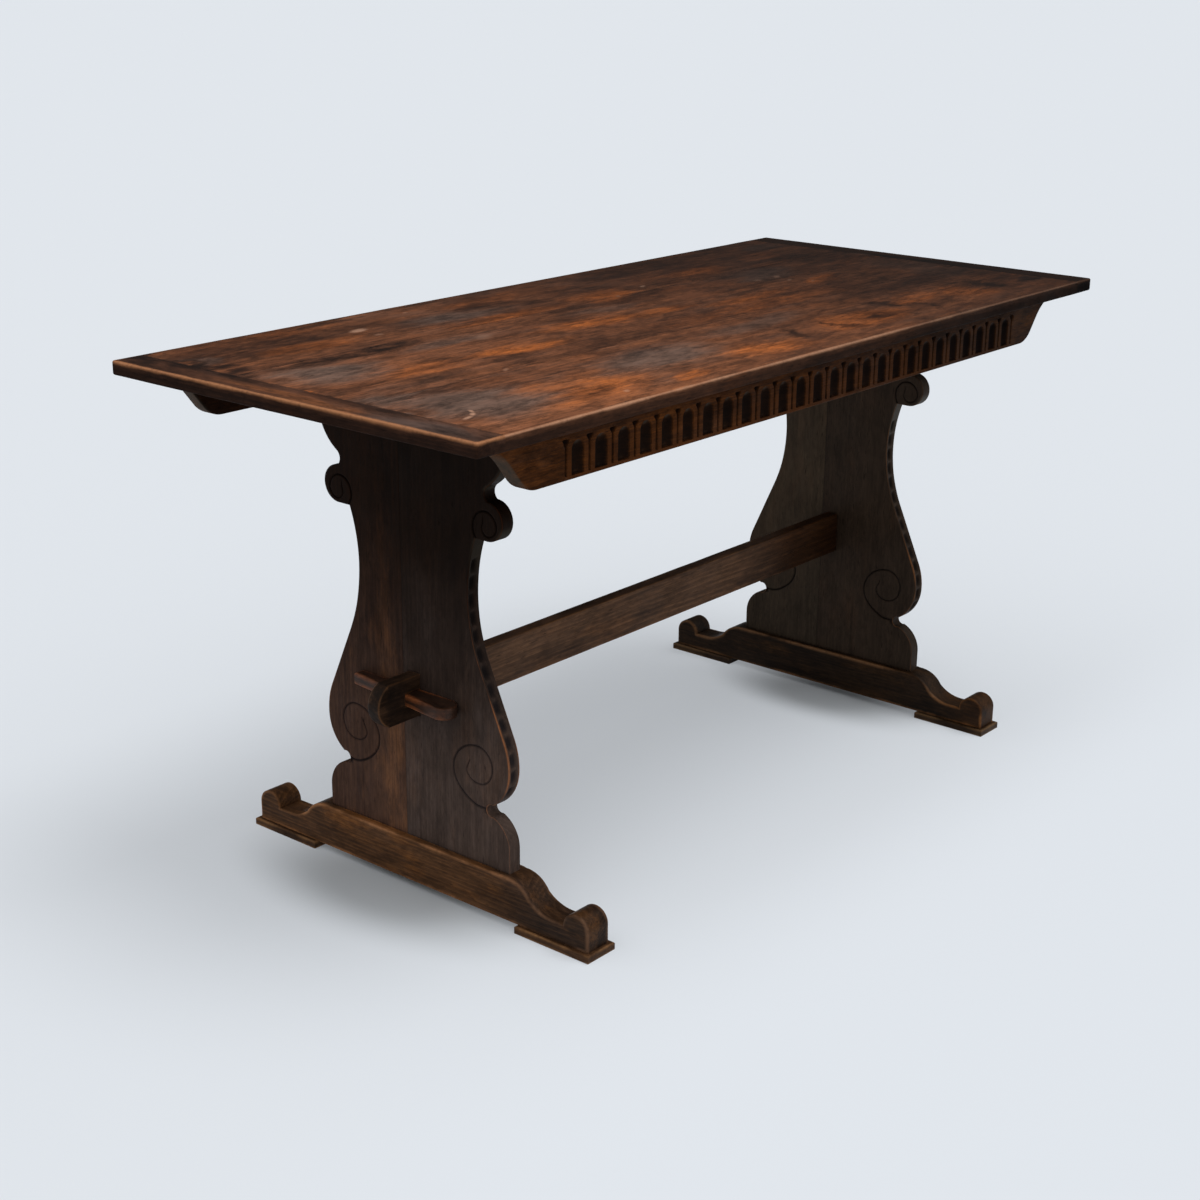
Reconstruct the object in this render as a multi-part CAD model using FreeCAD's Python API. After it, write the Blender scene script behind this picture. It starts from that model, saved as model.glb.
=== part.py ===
import FreeCAD, Part
import math
import os
from FreeCAD import Vector

# Refectory table: a plank top with breadboard ends, fluted side aprons, two lyre
# trestles on sledge feet, and a stretcher whose through tenons are drawn up by keys.
# Millimetres. The origin is on the floor under the middle of the top.
# +X runs along the top, +Y across it and +Z up. Left is -X, front is -Y.

# Whole table
table_length = 1498.0
table_width = 668.0
table_height = 750.0
overrun = 5.0              # how far a cutting tool reaches past the wood
seat_spare = 0.5           # depth left free at the end of a tongue or a tenon

# Top: three boards along the length, one cross board at each end
top_thick = 20.0
front_board_width = 234.0
middle_board_width = 240.0
breadboard_width = 48.0
tongue_length = 12.0
tongue_thick = 8.0
tongue_root = 2.0          # how far the tongue's solid starts inside the board
tongue_stop = 20.0         # the tongue ends this far short of the long edges
top_upper_round = 2.6
top_under_round = 3.0
top_corner_radius = 3.4

# Aprons under the long edges
apron_setback = 32.5       # from the top's edge to the carved face
apron_thick = 22.0
apron_height = 70.0
apron_overhang = 36.0      # from the top's end to the tip of a centred apron's horn
apron_shift = 16.0         # both aprons sit this far to the left of the top's middle
horn_length = 119.0        # the shaped end, from the tip to the straight lower edge
horn_shares = (            # of the horn's length from the tip, and of the apron's height
    (0.0, 1.0),
    (0.395, 0.82),
    (0.58, 0.55),
    (0.739, 0.207),
    (0.836, 0.074),
    (1.0, 0.0),
)

# Flutes carved in the aprons, with a thin quirk between each two. They were spaced by
# eye, so the row lies a little to the left and closes up towards the right.
flute_count = 26
flute_row_length = 1100.0
flute_row_shift = 7.0      # of both ends of the row to the left
flute_row_crowding = 17.0  # the middle of an even row moves this far to the right of its ends
flute_width = 23.0
flute_depth = 5.0
flute_bottom_margin = 6.0
flute_top_height = 49.0    # from the apron's lower edge to the top of the arch
quirk_width = 4.0
quirk_depth = 2.0

# Lyre trestles, each of two boards glued edge to edge
trestle_set_in = 232.0     # from the top's end to the middle of the trestle's thickness
trestle_thick = 22.0
trestle_width = 354.0      # across the base, the belly and the head
waist_width = 208.0
volute_width = 336.0       # across both volutes
volute_radius = 27.0
neck_depth = 5.0
neck_height = 20.0
notch_inset = 30.0
notch_depth = 12.0
notch_height = 17.0
glue_line_y = 20.0
shoulder_share = 0.0499    # heights as shares of the trestle's height
notch_share = 0.1162
belly_share = 0.2265
waist_share = 0.5872
volute_share = 0.7554
flare_share = 0.9280
belly_radius_share = 0.1644
waist_radius_share = 0.3653

# Stub tenons that join a trestle to its foot
stub_tenon_thick = 12.0
stub_tenon_width = 95.0
stub_tenon_length = 30.0
stub_tenon_y = 100.0

# Sledge feet
foot_length = 652.0
foot_width = 44.0
foot_height = 64.0
foot_flat_length = 360.0   # level part that carries the trestle
knob_radius = 22.0
cove_height = 27.5         # of the hollow beside the knob, above the foot's underside
ogee_turn_shares = (0.50, 0.42)
ogee_crown_shares = (0.29, 0.85)
ogee_hollow_shares = (0.67, 0.12)
hollow_flat = 20.0         # level bottom of the hollow, beside the knob

# Pads under the feet
pad_length = 132.0
pad_width = 56.0
pad_thick = 11.0
pad_lip = 6.0              # how far a pad shows past the end of the foot
pad_bevel = 2.0

# Stretcher with through tenons
stretcher_thick = 22.0
stretcher_height = 68.0
stretcher_floor = 261.0    # its lower edge, above the floor
tenon_shoulder = 3.0
tenon_reach = 79.0         # past the trestle's outer face
tenon_bow = 21.0

# Keys: wedges through the tenons, withdrawn towards the front
key_height = 18.0
key_tip_thick = 15.0
key_head_thick = 36.0
key_back_reach = 104.0     # from the middle of the tenon to the thin tip
key_front_reach = 93.0     # from the middle of the tenon to the round head
key_ease = 0.05
key_slot_set_in = 3.0      # the slot starts inside the trestle, so that the key draws it tight

# Bearers that carry the top on the trestles
bearer_thick = 30.0
bearer_height = 45.0

# Glue blocks behind the aprons
block_leg = 28.0
block_length = 50.0
block_count = 5

# Places that follow from the sizes above
half_length = table_length / 2
half_width = table_width / 2
top_under = table_height - top_thick
board_end = half_length - breadboard_width
front_joint_y = -half_width + front_board_width
back_joint_y = front_joint_y + middle_board_width
apron_face_y = half_width - apron_setback
apron_inner_y = apron_face_y - apron_thick
apron_under = top_under - apron_height
apron_tip = half_length - apron_overhang
flute_pitch = flute_row_length / flute_count
trestle_x = half_length - trestle_set_in
trestle_outer = trestle_x + trestle_thick / 2
trestle_inner = trestle_x - trestle_thick / 2
foot_top = pad_thick + foot_height
trestle_height = top_under - foot_top
stretcher_middle = stretcher_floor + stretcher_height / 2
tenon_height = stretcher_height - 2 * tenon_shoulder
tenon_end = trestle_outer + tenon_reach
bearer_inner = trestle_inner - bearer_thick
block_pitch = 2 * bearer_inner / block_count
bearer_under = top_under - bearer_height

X_AXIS = Vector(1, 0, 0)
Y_AXIS = Vector(0, 1, 0)
Z_AXIS = Vector(0, 0, 1)
ORIGIN = Vector(0, 0, 0)


def save(name, shape):
    shape.exportStep("parts/" + name + ".step")


def box(low, high):
    """A block between two opposite corners."""
    sides = [b - a for a, b in zip(low, high)]
    return Part.makeBox(sides[0], sides[1], sides[2], Vector(*low))


def line(a, b):
    return Part.LineSegment(a, b).toShape()


def arc(a, middle, b):
    return Part.Arc(a, middle, b).toShape()


def circle_point(centre, radius, angle):
    """A point of a circle in an outline's own plane, at an angle in degrees."""
    turn = math.radians(angle)
    return (centre[0] + radius * math.cos(turn), centre[1] + radius * math.sin(turn))


def plate(edges, depth):
    """The closed outline given its depth."""
    return Part.Face(Part.Wire(edges)).extrude(depth)


def lies_level(edge, height):
    """Whether a whole edge lies at one height."""
    return all(abs(z - height) < seat_spare for z in (edge.BoundBox.ZMin, edge.BoundBox.ZMax))


def mirrored(shape, across):
    return shape.mirror(ORIGIN, across)


def spread(count, pitch):
    """Places in a row, evenly about the middle."""
    return [(i - (count - 1) / 2) * pitch for i in range(count)]


# Top
def top_blank():
    """The whole top before it is cut into boards: rounded corners and worn arrises."""
    blank = box((-half_length, -half_width, top_under), (half_length, half_width, table_height))
    corners = [edge for edge in blank.Edges if abs(edge.tangentAt(edge.FirstParameter).z) > 0.5]
    blank = blank.makeFillet(top_corner_radius, corners)
    for face_z, radius in ((table_height, top_upper_round), (top_under, top_under_round)):
        rim = [edge for edge in blank.Edges if lies_level(edge, face_z)]
        blank = blank.makeFillet(radius, rim)
    return blank


def tongue_part(low_y, high_y, length):
    """A tongue, or the groove for it, at each end of the boards."""
    middle = top_under + top_thick / 2
    right = box(
        (board_end - tongue_root, low_y, middle - tongue_thick / 2),
        (board_end + length, high_y, middle + tongue_thick / 2),
    )
    return right.fuse(mirrored(right, X_AXIS))


def make_top():
    blank = top_blank()
    stop = half_width - tongue_stop
    joints = (-half_width - overrun, front_joint_y, back_joint_y, half_width + overrun)
    for name, low, high in zip(("front", "middle", "back"), joints, joints[1:]):
        board = blank.common(box((-board_end, low, 0), (board_end, high, table_height + overrun)))
        board = board.fuse(tongue_part(max(low, -stop), min(high, stop), tongue_length))
        save("top_board_" + name, board.removeSplitter())
    groove = tongue_part(-stop, stop, tongue_length + seat_spare)
    far_corner = (half_length + overrun, half_width + overrun, table_height + overrun)
    end = blank.common(box((board_end, -half_width - overrun, 0), far_corner)).cut(groove)
    save("breadboard_end_right", end)
    save("breadboard_end_left", mirrored(end, X_AXIS))


# Aprons
def apron_outline(y):
    """The apron's front view: level between two shaped horns, like the mouth of a bell."""
    def at(along_share, rise_share, side):
        x = side * (apron_tip - along_share * horn_length) - apron_shift
        return Vector(x, y, apron_under + rise_share * apron_height)

    tip, cove, cove_end, belly_start, belly, flat = horn_shares
    right = [
        arc(at(*tip, 1), at(*cove, 1), at(*cove_end, 1)),
        line(at(*cove_end, 1), at(*belly_start, 1)),
        arc(at(*belly_start, 1), at(*belly, 1), at(*flat, 1)),
    ]
    left = [
        arc(at(*flat, -1), at(*belly, -1), at(*belly_start, -1)),
        line(at(*belly_start, -1), at(*cove_end, -1)),
        arc(at(*cove_end, -1), at(*cove, -1), at(*tip, -1)),
    ]
    lower = line(at(*flat, 1), at(*flat, -1))
    upper = line(at(*tip, -1), at(*tip, 1))
    return right + [lower] + left + [upper]


def carved_place(x):
    """Where the carver's spacing puts a place of the even row."""
    share = 2 * x / flute_row_length
    return x - flute_row_shift + flute_row_crowding * (1 - share * share)


def flute_cutter(x):
    """An upright gouge cut: a shallow round hollow that ends above in an arch."""
    half = flute_width / 2
    radius = (half * half + flute_depth * flute_depth) / (2 * flute_depth)
    axis_y = apron_face_y + radius - flute_depth
    bottom = apron_under + flute_bottom_margin
    spring = apron_under + flute_top_height - half
    stem = Part.makeCylinder(radius, spring - bottom, Vector(x, axis_y, bottom), Z_AXIS)
    return stem.fuse(Part.makeSphere(radius, Vector(x, axis_y, spring)))


def quirk_cutter(x):
    """The narrow V cut that parts two fluted fields."""
    half = quirk_width / 2
    bottom = apron_under + flute_bottom_margin
    top = apron_under + flute_top_height
    corners = [
        Vector(x - half, apron_face_y, bottom),
        Vector(x + half, apron_face_y, bottom),
        Vector(x, apron_face_y - quirk_depth, bottom),
    ]
    edges = [line(a, b) for a, b in zip(corners, corners[1:] + corners[:1])]
    return plate(edges, Vector(0, 0, top - bottom))


def make_aprons():
    apron = plate(apron_outline(apron_inner_y), Vector(0, apron_thick, 0))
    cutters = [flute_cutter(carved_place(x)) for x in spread(flute_count, flute_pitch)]
    cutters += [quirk_cutter(carved_place(x)) for x in spread(flute_count + 1, flute_pitch)]
    apron = apron.cut(cutters)
    save("apron_back", apron)
    save("apron_front", mirrored(apron, Y_AXIS))
    blocks = []
    for x in spread(block_count, block_pitch):
        corners = [
            Vector(x - block_length / 2, apron_inner_y, top_under),
            Vector(x - block_length / 2, apron_inner_y - block_leg, top_under),
            Vector(x - block_length / 2, apron_inner_y, top_under - block_leg),
        ]
        edges = [line(a, b) for a, b in zip(corners, corners[1:] + corners[:1])]
        blocks.append(plate(edges, Vector(block_length, 0, 0)))
    blocks = Part.makeCompound(blocks)
    save("apron_blocks_back", blocks)
    save("apron_blocks_front", mirrored(blocks, Y_AXIS))


# Trestles
def lyre_points():
    """The half outline of a trestle from its foot upwards, as pairs of across and up."""
    half = trestle_width / 2
    height = trestle_height
    points = {}
    points["base"] = (half, 0)
    points["shoulder"] = (half, shoulder_share * height)
    notch_z = notch_share * height
    mouth = half - notch_inset
    points["notch_low"] = (mouth, notch_z)
    points["notch"] = (mouth - notch_depth, notch_z + notch_height / 2)
    points["notch_high"] = (mouth, notch_z + notch_height)
    belly = (half, belly_share * height)
    belly_radius = belly_radius_share * height
    waist_radius = waist_radius_share * height
    belly_centre = (half - belly_radius, belly[1])
    waist_centre = (waist_width / 2 + waist_radius, waist_share * height)
    across = waist_centre[0] - belly_centre[0]
    up = waist_centre[1] - belly_centre[1]
    tilt = math.acos((belly_radius + waist_radius) / math.hypot(across, up))
    flank_angle = math.degrees(math.atan2(up, across) - tilt)
    points["belly"] = belly
    points["belly_high"] = circle_point(belly_centre, belly_radius, flank_angle / 2)
    points["flank_low"] = circle_point(belly_centre, belly_radius, flank_angle)
    points["flank_high"] = circle_point(waist_centre, -waist_radius, flank_angle)
    volute_y = volute_width / 2 - volute_radius
    volute_z = volute_share * height
    collar_z = volute_z - volute_radius
    rise = collar_z - waist_centre[1]
    collar_y = waist_centre[0] - math.sqrt(waist_radius ** 2 - rise ** 2)
    points["waist"] = (waist_width / 2, waist_centre[1])
    points["collar"] = (collar_y, collar_z)
    points["volute_low"] = (volute_y, collar_z)
    points["volute"] = (volute_width / 2, volute_z)
    points["volute_high"] = (volute_y, volute_z + volute_radius)
    points["neck"] = (volute_y - neck_depth, volute_z + volute_radius + neck_height / 2)
    points["neck_high"] = (volute_y, volute_z + volute_radius + neck_height)
    points["flare"] = (half, flare_share * height)
    points["head"] = (half, height)
    points["shoulder_mid"] = between(points["notch_low"], points["shoulder"], -1)
    points["belly_low"] = between(points["notch_high"], points["belly"], 1)
    points["flare_mid"] = between(points["neck_high"], points["flare"], 1)
    return points


def between(inner, outer, side):
    """A point of the arc that leaves the outer point upright and meets the inner one."""
    across = outer[0] - inner[0]
    up = abs(outer[1] - inner[1])
    radius = (across ** 2 + up ** 2) / (2 * across)
    centre = (outer[0] - radius, outer[1])
    sweep = math.degrees(math.asin(up / radius))
    return circle_point(centre, radius, -side * sweep / 2)


def half_edges(points, side):
    """The arcs and lines of one side of a trestle, from the foot to the head."""
    def at(name):
        y, z = points[name]
        return Vector(trestle_inner, side * y, foot_top + z)

    return [
        line(at("base"), at("shoulder")),
        arc(at("shoulder"), at("shoulder_mid"), at("notch_low")),
        arc(at("notch_low"), at("notch"), at("notch_high")),
        arc(at("notch_high"), at("belly_low"), at("belly")),
        arc(at("belly"), at("belly_high"), at("flank_low")),
        line(at("flank_low"), at("flank_high")),
        arc(at("flank_high"), at("waist"), at("collar")),
        line(at("collar"), at("volute_low")),
        arc(at("volute_low"), at("volute"), at("volute_high")),
        arc(at("volute_high"), at("neck"), at("neck_high")),
        arc(at("neck_high"), at("flare_mid"), at("flare")),
        line(at("flare"), at("head")),
    ]


def stub_tenon(centre_y, spare):
    """A stub tenon of a trestle board, or with spare its mortise in the foot."""
    half_thick, half_across = stub_tenon_thick / 2, stub_tenon_width / 2
    return box(
        (trestle_x - half_thick, centre_y - half_across, foot_top - stub_tenon_length - spare),
        (trestle_x + half_thick, centre_y + half_across, foot_top),
    )


def through_tenon():
    """The end of the stretcher that passes through the right trestle, with its bowed tip."""
    low = stretcher_middle - tenon_height / 2
    high = stretcher_middle + tenon_height / 2
    y = -stretcher_thick / 2
    root = Vector(trestle_inner, y, low), Vector(trestle_inner, y, high)
    tip = Vector(tenon_end - tenon_bow, y, low), Vector(tenon_end - tenon_bow, y, high)
    edges = [
        line(root[1], root[0]),
        line(root[0], tip[0]),
        arc(tip[0], Vector(tenon_end, y, stretcher_middle), tip[1]),
        line(tip[1], root[1]),
    ]
    return plate(edges, Vector(0, stretcher_thick, 0))


def make_trestles():
    points = lyre_points()
    back = half_edges(points, 1)
    front = half_edges(points, -1)
    head = line(back[-1].lastVertex().Point, front[-1].lastVertex().Point)
    base = line(front[0].firstVertex().Point, back[0].firstVertex().Point)
    front.reverse()
    board = plate(back + [head] + front + [base], Vector(trestle_thick, 0, 0))
    board = board.cut(through_tenon())
    far = trestle_width
    split = glue_line_y
    halves = (("front", -far, split, -stub_tenon_y), ("back", split, far, stub_tenon_y))
    for name, low, high, tenon_y in halves:
        half = board.common(box((0, low, 0), (half_length, high, table_height)))
        half = half.fuse(stub_tenon(tenon_y, 0)).removeSplitter()
        save("trestle_right_" + name + "_board", half)
        save("trestle_left_" + name + "_board", mirrored(half, X_AXIS))


# Feet
def foot_outline():
    """A foot's side view: level under the trestle, an ogee down to a hollow, and a round knob."""
    end = foot_length / 2
    flat = foot_flat_length / 2
    knob_y = end - knob_radius
    hollow_z = pad_thick + cove_height
    hollow_y = knob_y - knob_radius - hollow_flat
    run = hollow_y - flat
    drop = foot_top - hollow_z

    def half(side):
        def at(y, z):
            return Vector(trestle_x - foot_width / 2, side * y, z)

        def on_ogee(shares):
            return at(flat + shares[0] * run, hollow_z + shares[1] * drop)

        return [
            arc(at(flat, foot_top), on_ogee(ogee_crown_shares), on_ogee(ogee_turn_shares)),
            arc(on_ogee(ogee_turn_shares), on_ogee(ogee_hollow_shares), at(hollow_y, hollow_z)),
            line(at(hollow_y, hollow_z), at(knob_y - knob_radius, hollow_z)),
            arc(
                at(knob_y - knob_radius, hollow_z),
                at(knob_y, hollow_z + knob_radius),
                at(end, hollow_z),
            ),
            line(at(end, hollow_z), at(end, pad_thick)),
        ]

    back = half(1)
    front = half(-1)
    front.reverse()
    base = line(back[-1].lastVertex().Point, front[0].lastVertex().Point)
    crown = line(front[-1].firstVertex().Point, back[0].firstVertex().Point)
    return back + [base] + front + [crown]


def make_feet():
    foot = plate(foot_outline(), Vector(foot_width, 0, 0))
    for centre_y in (-stub_tenon_y, stub_tenon_y):
        foot = foot.cut(stub_tenon(centre_y, seat_spare))
    pad_end = foot_length / 2 + pad_lip
    pad = box(
        (trestle_x - pad_width / 2, pad_end - pad_length, 0),
        (trestle_x + pad_width / 2, pad_end, pad_thick),
    )
    rim = [edge for edge in pad.Edges if lies_level(edge, pad_thick)]
    pad = pad.makeChamfer(pad_bevel, rim)
    save("foot_right", foot)
    save("foot_left", mirrored(foot, X_AXIS))
    save("foot_pad_right_back", pad)
    save("foot_pad_left_back", mirrored(pad, X_AXIS))
    save("foot_pad_right_front", mirrored(pad, Y_AXIS))
    save("foot_pad_left_front", mirrored(mirrored(pad, X_AXIS), Y_AXIS))


# Stretcher and keys
def key_front_x(y):
    """The key's slanting outer face, seen from above."""
    head_y = key_head_thick / 2 - key_front_reach
    slope = (key_head_thick - key_tip_thick) / (key_back_reach - head_y)
    return trestle_outer + key_tip_thick + slope * (key_back_reach - y)


def make_stretcher():
    beam = box(
        (-trestle_inner, -stretcher_thick / 2, stretcher_floor),
        (trestle_inner, stretcher_thick / 2, stretcher_floor + stretcher_height),
    )
    tenon = through_tenon()
    side = stretcher_thick / 2 + overrun
    inner = trestle_outer - key_slot_set_in
    key_floor = stretcher_middle - key_height / 2
    corners = [
        Vector(inner, -side, key_floor),
        Vector(key_front_x(-side) + key_ease, -side, key_floor),
        Vector(key_front_x(side) + key_ease, side, key_floor),
        Vector(inner, side, key_floor),
    ]
    edges = [line(a, b) for a, b in zip(corners, corners[1:] + corners[:1])]
    tenon = tenon.cut(plate(edges, Vector(0, 0, key_height + 2 * key_ease)))
    stretcher = beam.fuse([tenon, mirrored(tenon, X_AXIS)]).removeSplitter()
    save("stretcher", stretcher)


def make_keys():
    back_x = trestle_outer + key_ease
    head_y = key_head_thick / 2 - key_front_reach
    floor = stretcher_middle - key_height / 2 + key_ease
    tip = Vector(back_x, key_back_reach, floor), Vector(key_front_x(key_back_reach), key_back_reach, floor)
    neck = Vector(back_x, head_y, floor), Vector(key_front_x(head_y), head_y, floor)
    crown = Vector((neck[0].x + neck[1].x) / 2, -key_front_reach, floor)
    edges = [
        line(tip[0], tip[1]),
        line(tip[1], neck[1]),
        arc(neck[1], crown, neck[0]),
        line(neck[0], tip[0]),
    ]
    key = plate(edges, Vector(0, 0, key_height - key_ease))
    save("key_right", key)
    save("key_left", mirrored(key, X_AXIS))


# Bearers
def make_bearers():
    bearer = box(
        (bearer_inner, -apron_inner_y, bearer_under),
        (trestle_inner, apron_inner_y, top_under),
    )
    save("bearer_right", bearer)
    save("bearer_left", mirrored(bearer, X_AXIS))


os.makedirs("parts", exist_ok=True)
make_top()
make_aprons()
make_trestles()
make_feet()
make_stretcher()
make_keys()
make_bearers()
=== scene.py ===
import math
import bpy
import numpy as np
from mathutils import Matrix, Vector, geometry, noise


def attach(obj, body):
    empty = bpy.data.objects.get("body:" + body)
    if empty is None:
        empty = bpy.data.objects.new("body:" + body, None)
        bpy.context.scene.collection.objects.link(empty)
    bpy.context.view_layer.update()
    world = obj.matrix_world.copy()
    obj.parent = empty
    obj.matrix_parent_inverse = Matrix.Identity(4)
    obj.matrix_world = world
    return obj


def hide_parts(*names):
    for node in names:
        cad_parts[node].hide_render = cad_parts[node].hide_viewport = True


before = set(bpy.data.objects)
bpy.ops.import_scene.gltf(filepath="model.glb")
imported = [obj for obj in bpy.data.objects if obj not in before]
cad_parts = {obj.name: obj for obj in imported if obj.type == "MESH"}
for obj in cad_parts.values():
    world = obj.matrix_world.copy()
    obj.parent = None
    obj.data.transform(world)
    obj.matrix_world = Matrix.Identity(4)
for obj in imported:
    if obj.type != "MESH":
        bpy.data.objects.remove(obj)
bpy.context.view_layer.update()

# Refectory table. The CAD's pieces stay as they are, and each visible piece here stands in for one.
# Metres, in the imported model's frame: +X along the top, +Y across it, +Z up.
# Left is -X and front is -Y. MM turns a size in millimetres into metres.
MM = 0.001
TOP = 0.75
TOP_THICK = 20 * MM
TOP_UNDER = TOP - TOP_THICK
HALF_LENGTH = 0.749
HALF_WIDTH = 0.334
BOARD_END = 0.701
JOINTS_Y = (-0.334, -0.1, 0.14, 0.334)
CORNER = 3.6 * MM

APRON_FACE = 301.5 * MM
APRON_THICK = 22 * MM
APRON_UNDER = 660 * MM
APRON_HEIGHT = TOP_UNDER - APRON_UNDER
APRON_TIP = 0.713
APRON_SHIFT = 16 * MM
HORN = 119 * MM
HORN_SHARES = ((0.0, 1.0), (0.395, 0.82), (0.58, 0.55), (0.739, 0.207), (0.836, 0.074), (1.0, 0.0))
FLUTES = 26
FLUTE_ROW = 1.1
FLUTE_PITCH = FLUTE_ROW / FLUTES
ROW_SHIFT = 7 * MM
ROW_CROWDING = 17 * MM
FLUTE_HALF = 11.5 * MM
FLUTE_DEPTH = 5.2 * MM
FLUTE_FOOT = APRON_UNDER + 5 * MM
FLUTE_SPRING = APRON_UNDER + 37.5 * MM
QUIRK_HALF = 2.4 * MM
QUIRK_DEPTH = 2.4 * MM

TRESTLE_X = 0.517
TRESTLE_INNER = TRESTLE_X - 11 * MM
TRESTLE_OUTER = TRESTLE_X + 11 * MM
TRESTLE_THICK = 22 * MM
FOOT_TOP = 75 * MM
GLUE_LINE = 20 * MM
STRETCHER_LOW = 261 * MM
STRETCHER_HIGH = 329 * MM
TENON_LOW = 264 * MM
TENON_HIGH = 326 * MM
TENON_HALF = 11 * MM


# A place this far from an arris is never rubbed, and an edge eased less than
# HAIRLINE is a joint, which isn't rubbed either.
UNRUBBED = 50.0 * MM
HAIRLINE = 0.45 * MM


# Outlines
class Outline:
    """A closed line drawn with straight stretches and arcs, kept as points a small step apart."""

    def __init__(self, start, step=4 * MM):
        self.points = [Vector(start)]
        self.step = step

    def line(self, end):
        start, end = self.points[-1], Vector(end)
        count = max(1, round((end - start).length / self.step))
        self.points += [start.lerp(end, (i + 1) / count) for i in range(count)]
        return self

    def arc(self, middle, end, step=None):
        """An arc from the last point through a middle point to an end point."""
        a, b, c = self.points[-1], Vector(middle), Vector(end)
        d = 2 * (a.x * (b.y - c.y) + b.x * (c.y - a.y) + c.x * (a.y - b.y))
        aa, bb, cc = a.length_squared, b.length_squared, c.length_squared
        centre = Vector((
            (aa * (b.y - c.y) + bb * (c.y - a.y) + cc * (a.y - b.y)) / d,
            (aa * (c.x - b.x) + bb * (a.x - c.x) + cc * (b.x - a.x)) / d,
        ))
        radius = (a - centre).length
        angles = [math.atan2((p - centre).y, (p - centre).x) for p in (a, b, c)]
        turns = [(angle - angles[0]) % math.tau for angle in angles[1:]]
        sweep = turns[1] if turns[0] <= turns[1] else turns[1] - math.tau
        count = max(2, round(abs(sweep) * radius / (step or self.step)))
        for i in range(1, count + 1):
            turn = angles[0] + sweep * i / count
            self.points.append(centre + radius * Vector((math.cos(turn), math.sin(turn))))
        return self

    def closed(self):
        """The points once round, anticlockwise."""
        points = np.array([tuple(p) for p in self.points])
        if np.linalg.norm(points[0] - points[-1]) < 1e-7:
            points = points[:-1]
        return points if signed_area(points) > 0 else points[::-1]


def signed_area(points):
    x, y = points.T
    return 0.5 * float(np.sum(x * np.roll(y, -1) - np.roll(x, -1) * y))


def inside(points, loop):
    """Which points lie in a closed loop."""
    x, y = points.T
    found = np.zeros(len(points), bool)
    for (ax, ay), (bx, by) in zip(loop, np.roll(loop, -1, axis=0)):
        if ay == by:
            continue
        crosses = ((ay > y) != (by > y)) & (x < (bx - ax) * (y - ay) / (by - ay) + ax)
        found ^= crosses
    return found


def nearest_stretch(points, starts, ends):
    """For each point its distance from the nearest of several straight stretches, and where that is.

    Where is counted in stretches from the first one's start. No distance is more than UNRUBBED.
    """
    best = np.full(len(points), UNRUBBED)
    where = np.zeros(len(points))
    for i, (a, b) in enumerate(zip(starts, ends)):
        along = b - a
        share = np.clip((points - a) @ along / max(float(along @ along), 1e-18), 0, 1)
        gap = np.linalg.norm(points - a - share[:, None] * along, axis=1)
        nearer = gap < best
        best[nearer] = gap[nearer]
        where[nearer] = i + share[nearer]
    return best, where


def distance_to_loop(points, loop):
    return nearest_stretch(points, loop, np.roll(loop, -1, axis=0))[0]


def unit(rows):
    return rows / np.linalg.norm(rows, axis=1)[:, None]


def left_of(rows):
    """Each direction turned a quarter anticlockwise."""
    return np.stack([-rows[:, 1], rows[:, 0]], axis=1)


def smooth_step(low, high, value):
    share = np.clip((value - low) / (high - low), 0, 1)
    return share * share * (3 - 2 * share)


# Meshes and objects
def new_mesh(name, places, faces):
    mesh = bpy.data.meshes.new(name)
    mesh.from_pydata(places, [], faces)
    return mesh


def smoothed(mesh):
    mesh.shade_smooth()
    mesh.set_sharp_from_angle(angle=math.radians(38))
    return mesh


def new_object(name, data):
    made = bpy.data.objects.new(name, data)
    bpy.context.scene.collection.objects.link(made)
    return made


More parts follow.
